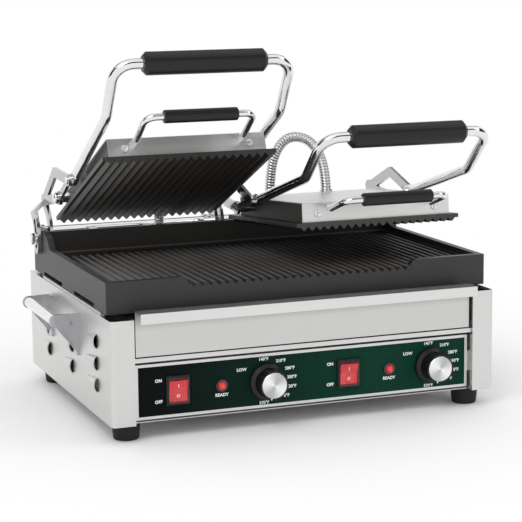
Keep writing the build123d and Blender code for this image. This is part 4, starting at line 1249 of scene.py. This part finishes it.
class Studio:
    """Camera, table, light and backdrop."""

    def camera(self, setting: CameraSetting) -> None:
        """Stand the camera where the photo was taken from.

        Args:
            setting: its place, lens and turn.
        """
        swing, height, roll = (math.radians(v) for v in (setting.swing, setting.height, setting.roll))
        right = Vector((math.cos(swing), math.sin(swing), 0.0))
        level = math.cos(height)
        back = Vector((math.sin(swing) * level, -math.cos(swing) * level, math.sin(height)))
        up = back.cross(right)
        across = right * math.cos(roll) + up * math.sin(roll)
        upright = up * math.cos(roll) - right * math.sin(roll)
        data = bpy.data.cameras.new("camera")
        data.lens = setting.lens
        data.sensor_width = setting.sensor
        data.clip_end = setting.far
        obj = bpy.data.objects.new("camera", data)
        bpy.context.scene.collection.objects.link(obj)
        turn = Matrix((across, upright, back)).transposed().to_4x4()
        obj.matrix_world = Matrix.Translation(Vector(setting.place)) @ turn
        bpy.context.scene.camera = obj

    def backdrop(self) -> None:
        """White all round to the eye and in reflections, a little softer as light."""
        world = bpy.data.worlds.new("studio")
        bpy.context.scene.world = world
        world.use_nodes = True
        sheet = NodeSheet(world.node_tree)
        sheet.tree.nodes.clear()
        seen = sheet.eye_rays()
        soft, white = (sheet.first("ShaderNodeBackground", {"Color": (*WHITE, 1.0), "Strength": strength})
                       for strength in (SOFT_STRENGTH, WHITE_STRENGTH))
        chosen = sheet.first("ShaderNodeMixShader", {0: seen, 1: soft, 2: white})
        sheet.node("ShaderNodeOutputWorld", {"Surface": chosen})

    def table(self, bench: Bench, setting: TableSetting) -> None:
        """Pale table under the grill, fading to white away from it.

        Args:
            bench: the tools.
            setting: its size and where it fades.
        """
        bpy.ops.object.select_all(action="DESELECT")
        bpy.ops.mesh.primitive_grid_add(x_subdivisions=4, y_subdivisions=4, size=setting.size)
        obj = bench.named("table")
        bench.settle(obj, Matrix.Translation(Vector((0.0, 0.0, setting.z))))
        recipe = Recipe("table", TABLE)
        x, y, _ = recipe.axes()
        away = recipe.limit((recipe.reach(x, y) - setting.fade_from) * setting.fade_rate)
        plain = Value(recipe, recipe.shader.outputs[0])
        white = recipe.first("ShaderNodeEmission", {"Color": (*WHITE, 1.0), "Strength": WHITE_STRENGTH})
        mix = recipe.first("ShaderNodeMixShader", {0: away * recipe.eye_rays(), 1: plain, 2: white})
        recipe.tree.links.new(mix.socket, recipe.tree.nodes["Material Output"].inputs["Surface"])
        obj.data.materials.append(recipe.material)
        obj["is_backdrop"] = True

    def card(self, bench: Bench, card: Card) -> None:
        """Dark board beside the set that only shows in reflections.

        Args:
            bench: the tools.
            card: its name, size and place.
        """
        bpy.ops.object.select_all(action="DESELECT")
        bpy.ops.mesh.primitive_grid_add(x_subdivisions=2, y_subdivisions=2, size=1.0)
        obj = bench.named(card.name)
        aim = (Vector(CARD_AIM) - Vector(card.place)).to_track_quat("Z", "Y").to_matrix().to_4x4()
        stretch = Matrix.Diagonal((*card.size, 1.0, 1.0))
        bench.settle(obj, Matrix.Translation(Vector(card.place)) @ aim @ stretch)
        obj.data.materials.append(Recipe(card.name, CARD_BLACK).material)
        obj.visible_camera = False
        obj.visible_diffuse = False
        obj.visible_shadow = False
        obj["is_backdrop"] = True

    def light(self, light: SoftLight) -> None:
        """Large soft light looking at the grill.

        Args:
            light: its name, place, size and power.
        """
        data = bpy.data.lights.new(light.name, "AREA")
        data.shape = "SQUARE"
        data.size = light.size
        data.energy = light.power
        obj = bpy.data.objects.new(light.name, data)
        bpy.context.scene.collection.objects.link(obj)
        aim = (Vector(light.place) - Vector(LIGHT_AIM)).to_track_quat("Z", "Y").to_matrix().to_4x4()
        obj.matrix_world = Matrix.Translation(Vector(light.place)) @ aim

    def build(self, bench: Bench) -> None:
        """Set up the whole studio.

        Args:
            bench: the tools.
        """
        bpy.context.scene.view_settings.view_transform = "Standard"
        self.camera(CameraSetting())
        self.backdrop()
        self.table(bench, TableSetting())
        for card in CARDS:
            self.card(bench, card)
        for light in LIGHTS:
            self.light(light)
        log.info("studio ready")


class Grill:
    """The whole grill: frame looks and the pieces added to it."""

    def __init__(self) -> None:
        """Get the sizes, the materials and the tools ready."""
        self.panel = PanelSizes()
        self.finishes = Finishes(self.panel)
        self.bench = Bench(self.finishes)

    def dress_frame(self) -> None:
        """Give every piece of the frame its material."""
        for entry in frame["record"]["subparts"]:
            obj = frame["nodes"][entry["node"]]
            material = self.finishes.of_node(entry["node"], entry["material_slot"])
            if not obj.material_slots:
                obj.data.materials.append(material)
            for slot in obj.material_slots:
                slot.material = material
            log.info("%s is %s", entry["node"], material.name)

    def build(self) -> None:
        """Build all that is added, conduits first."""
        self.dress_frame()
        for side in Side:
            Conduit(self.bench, side, ConduitSizes()).build()
        ControlPanel(self.bench, self.panel).build()
        for side in Side:
            UpperPlate(self.bench, side, CoverScrewSizes()).build()


def corners() -> list[list[float]]:
    """Lowest and highest corner of everything shown, in metres."""
    return [[float(part) for part in corner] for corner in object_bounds()]


def main() -> None:
    """Build the picture of the grill."""
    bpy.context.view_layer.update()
    grill = Grill()
    Studio().build(grill.bench)
    grill.build()


if __name__ == "__main__":
    main()
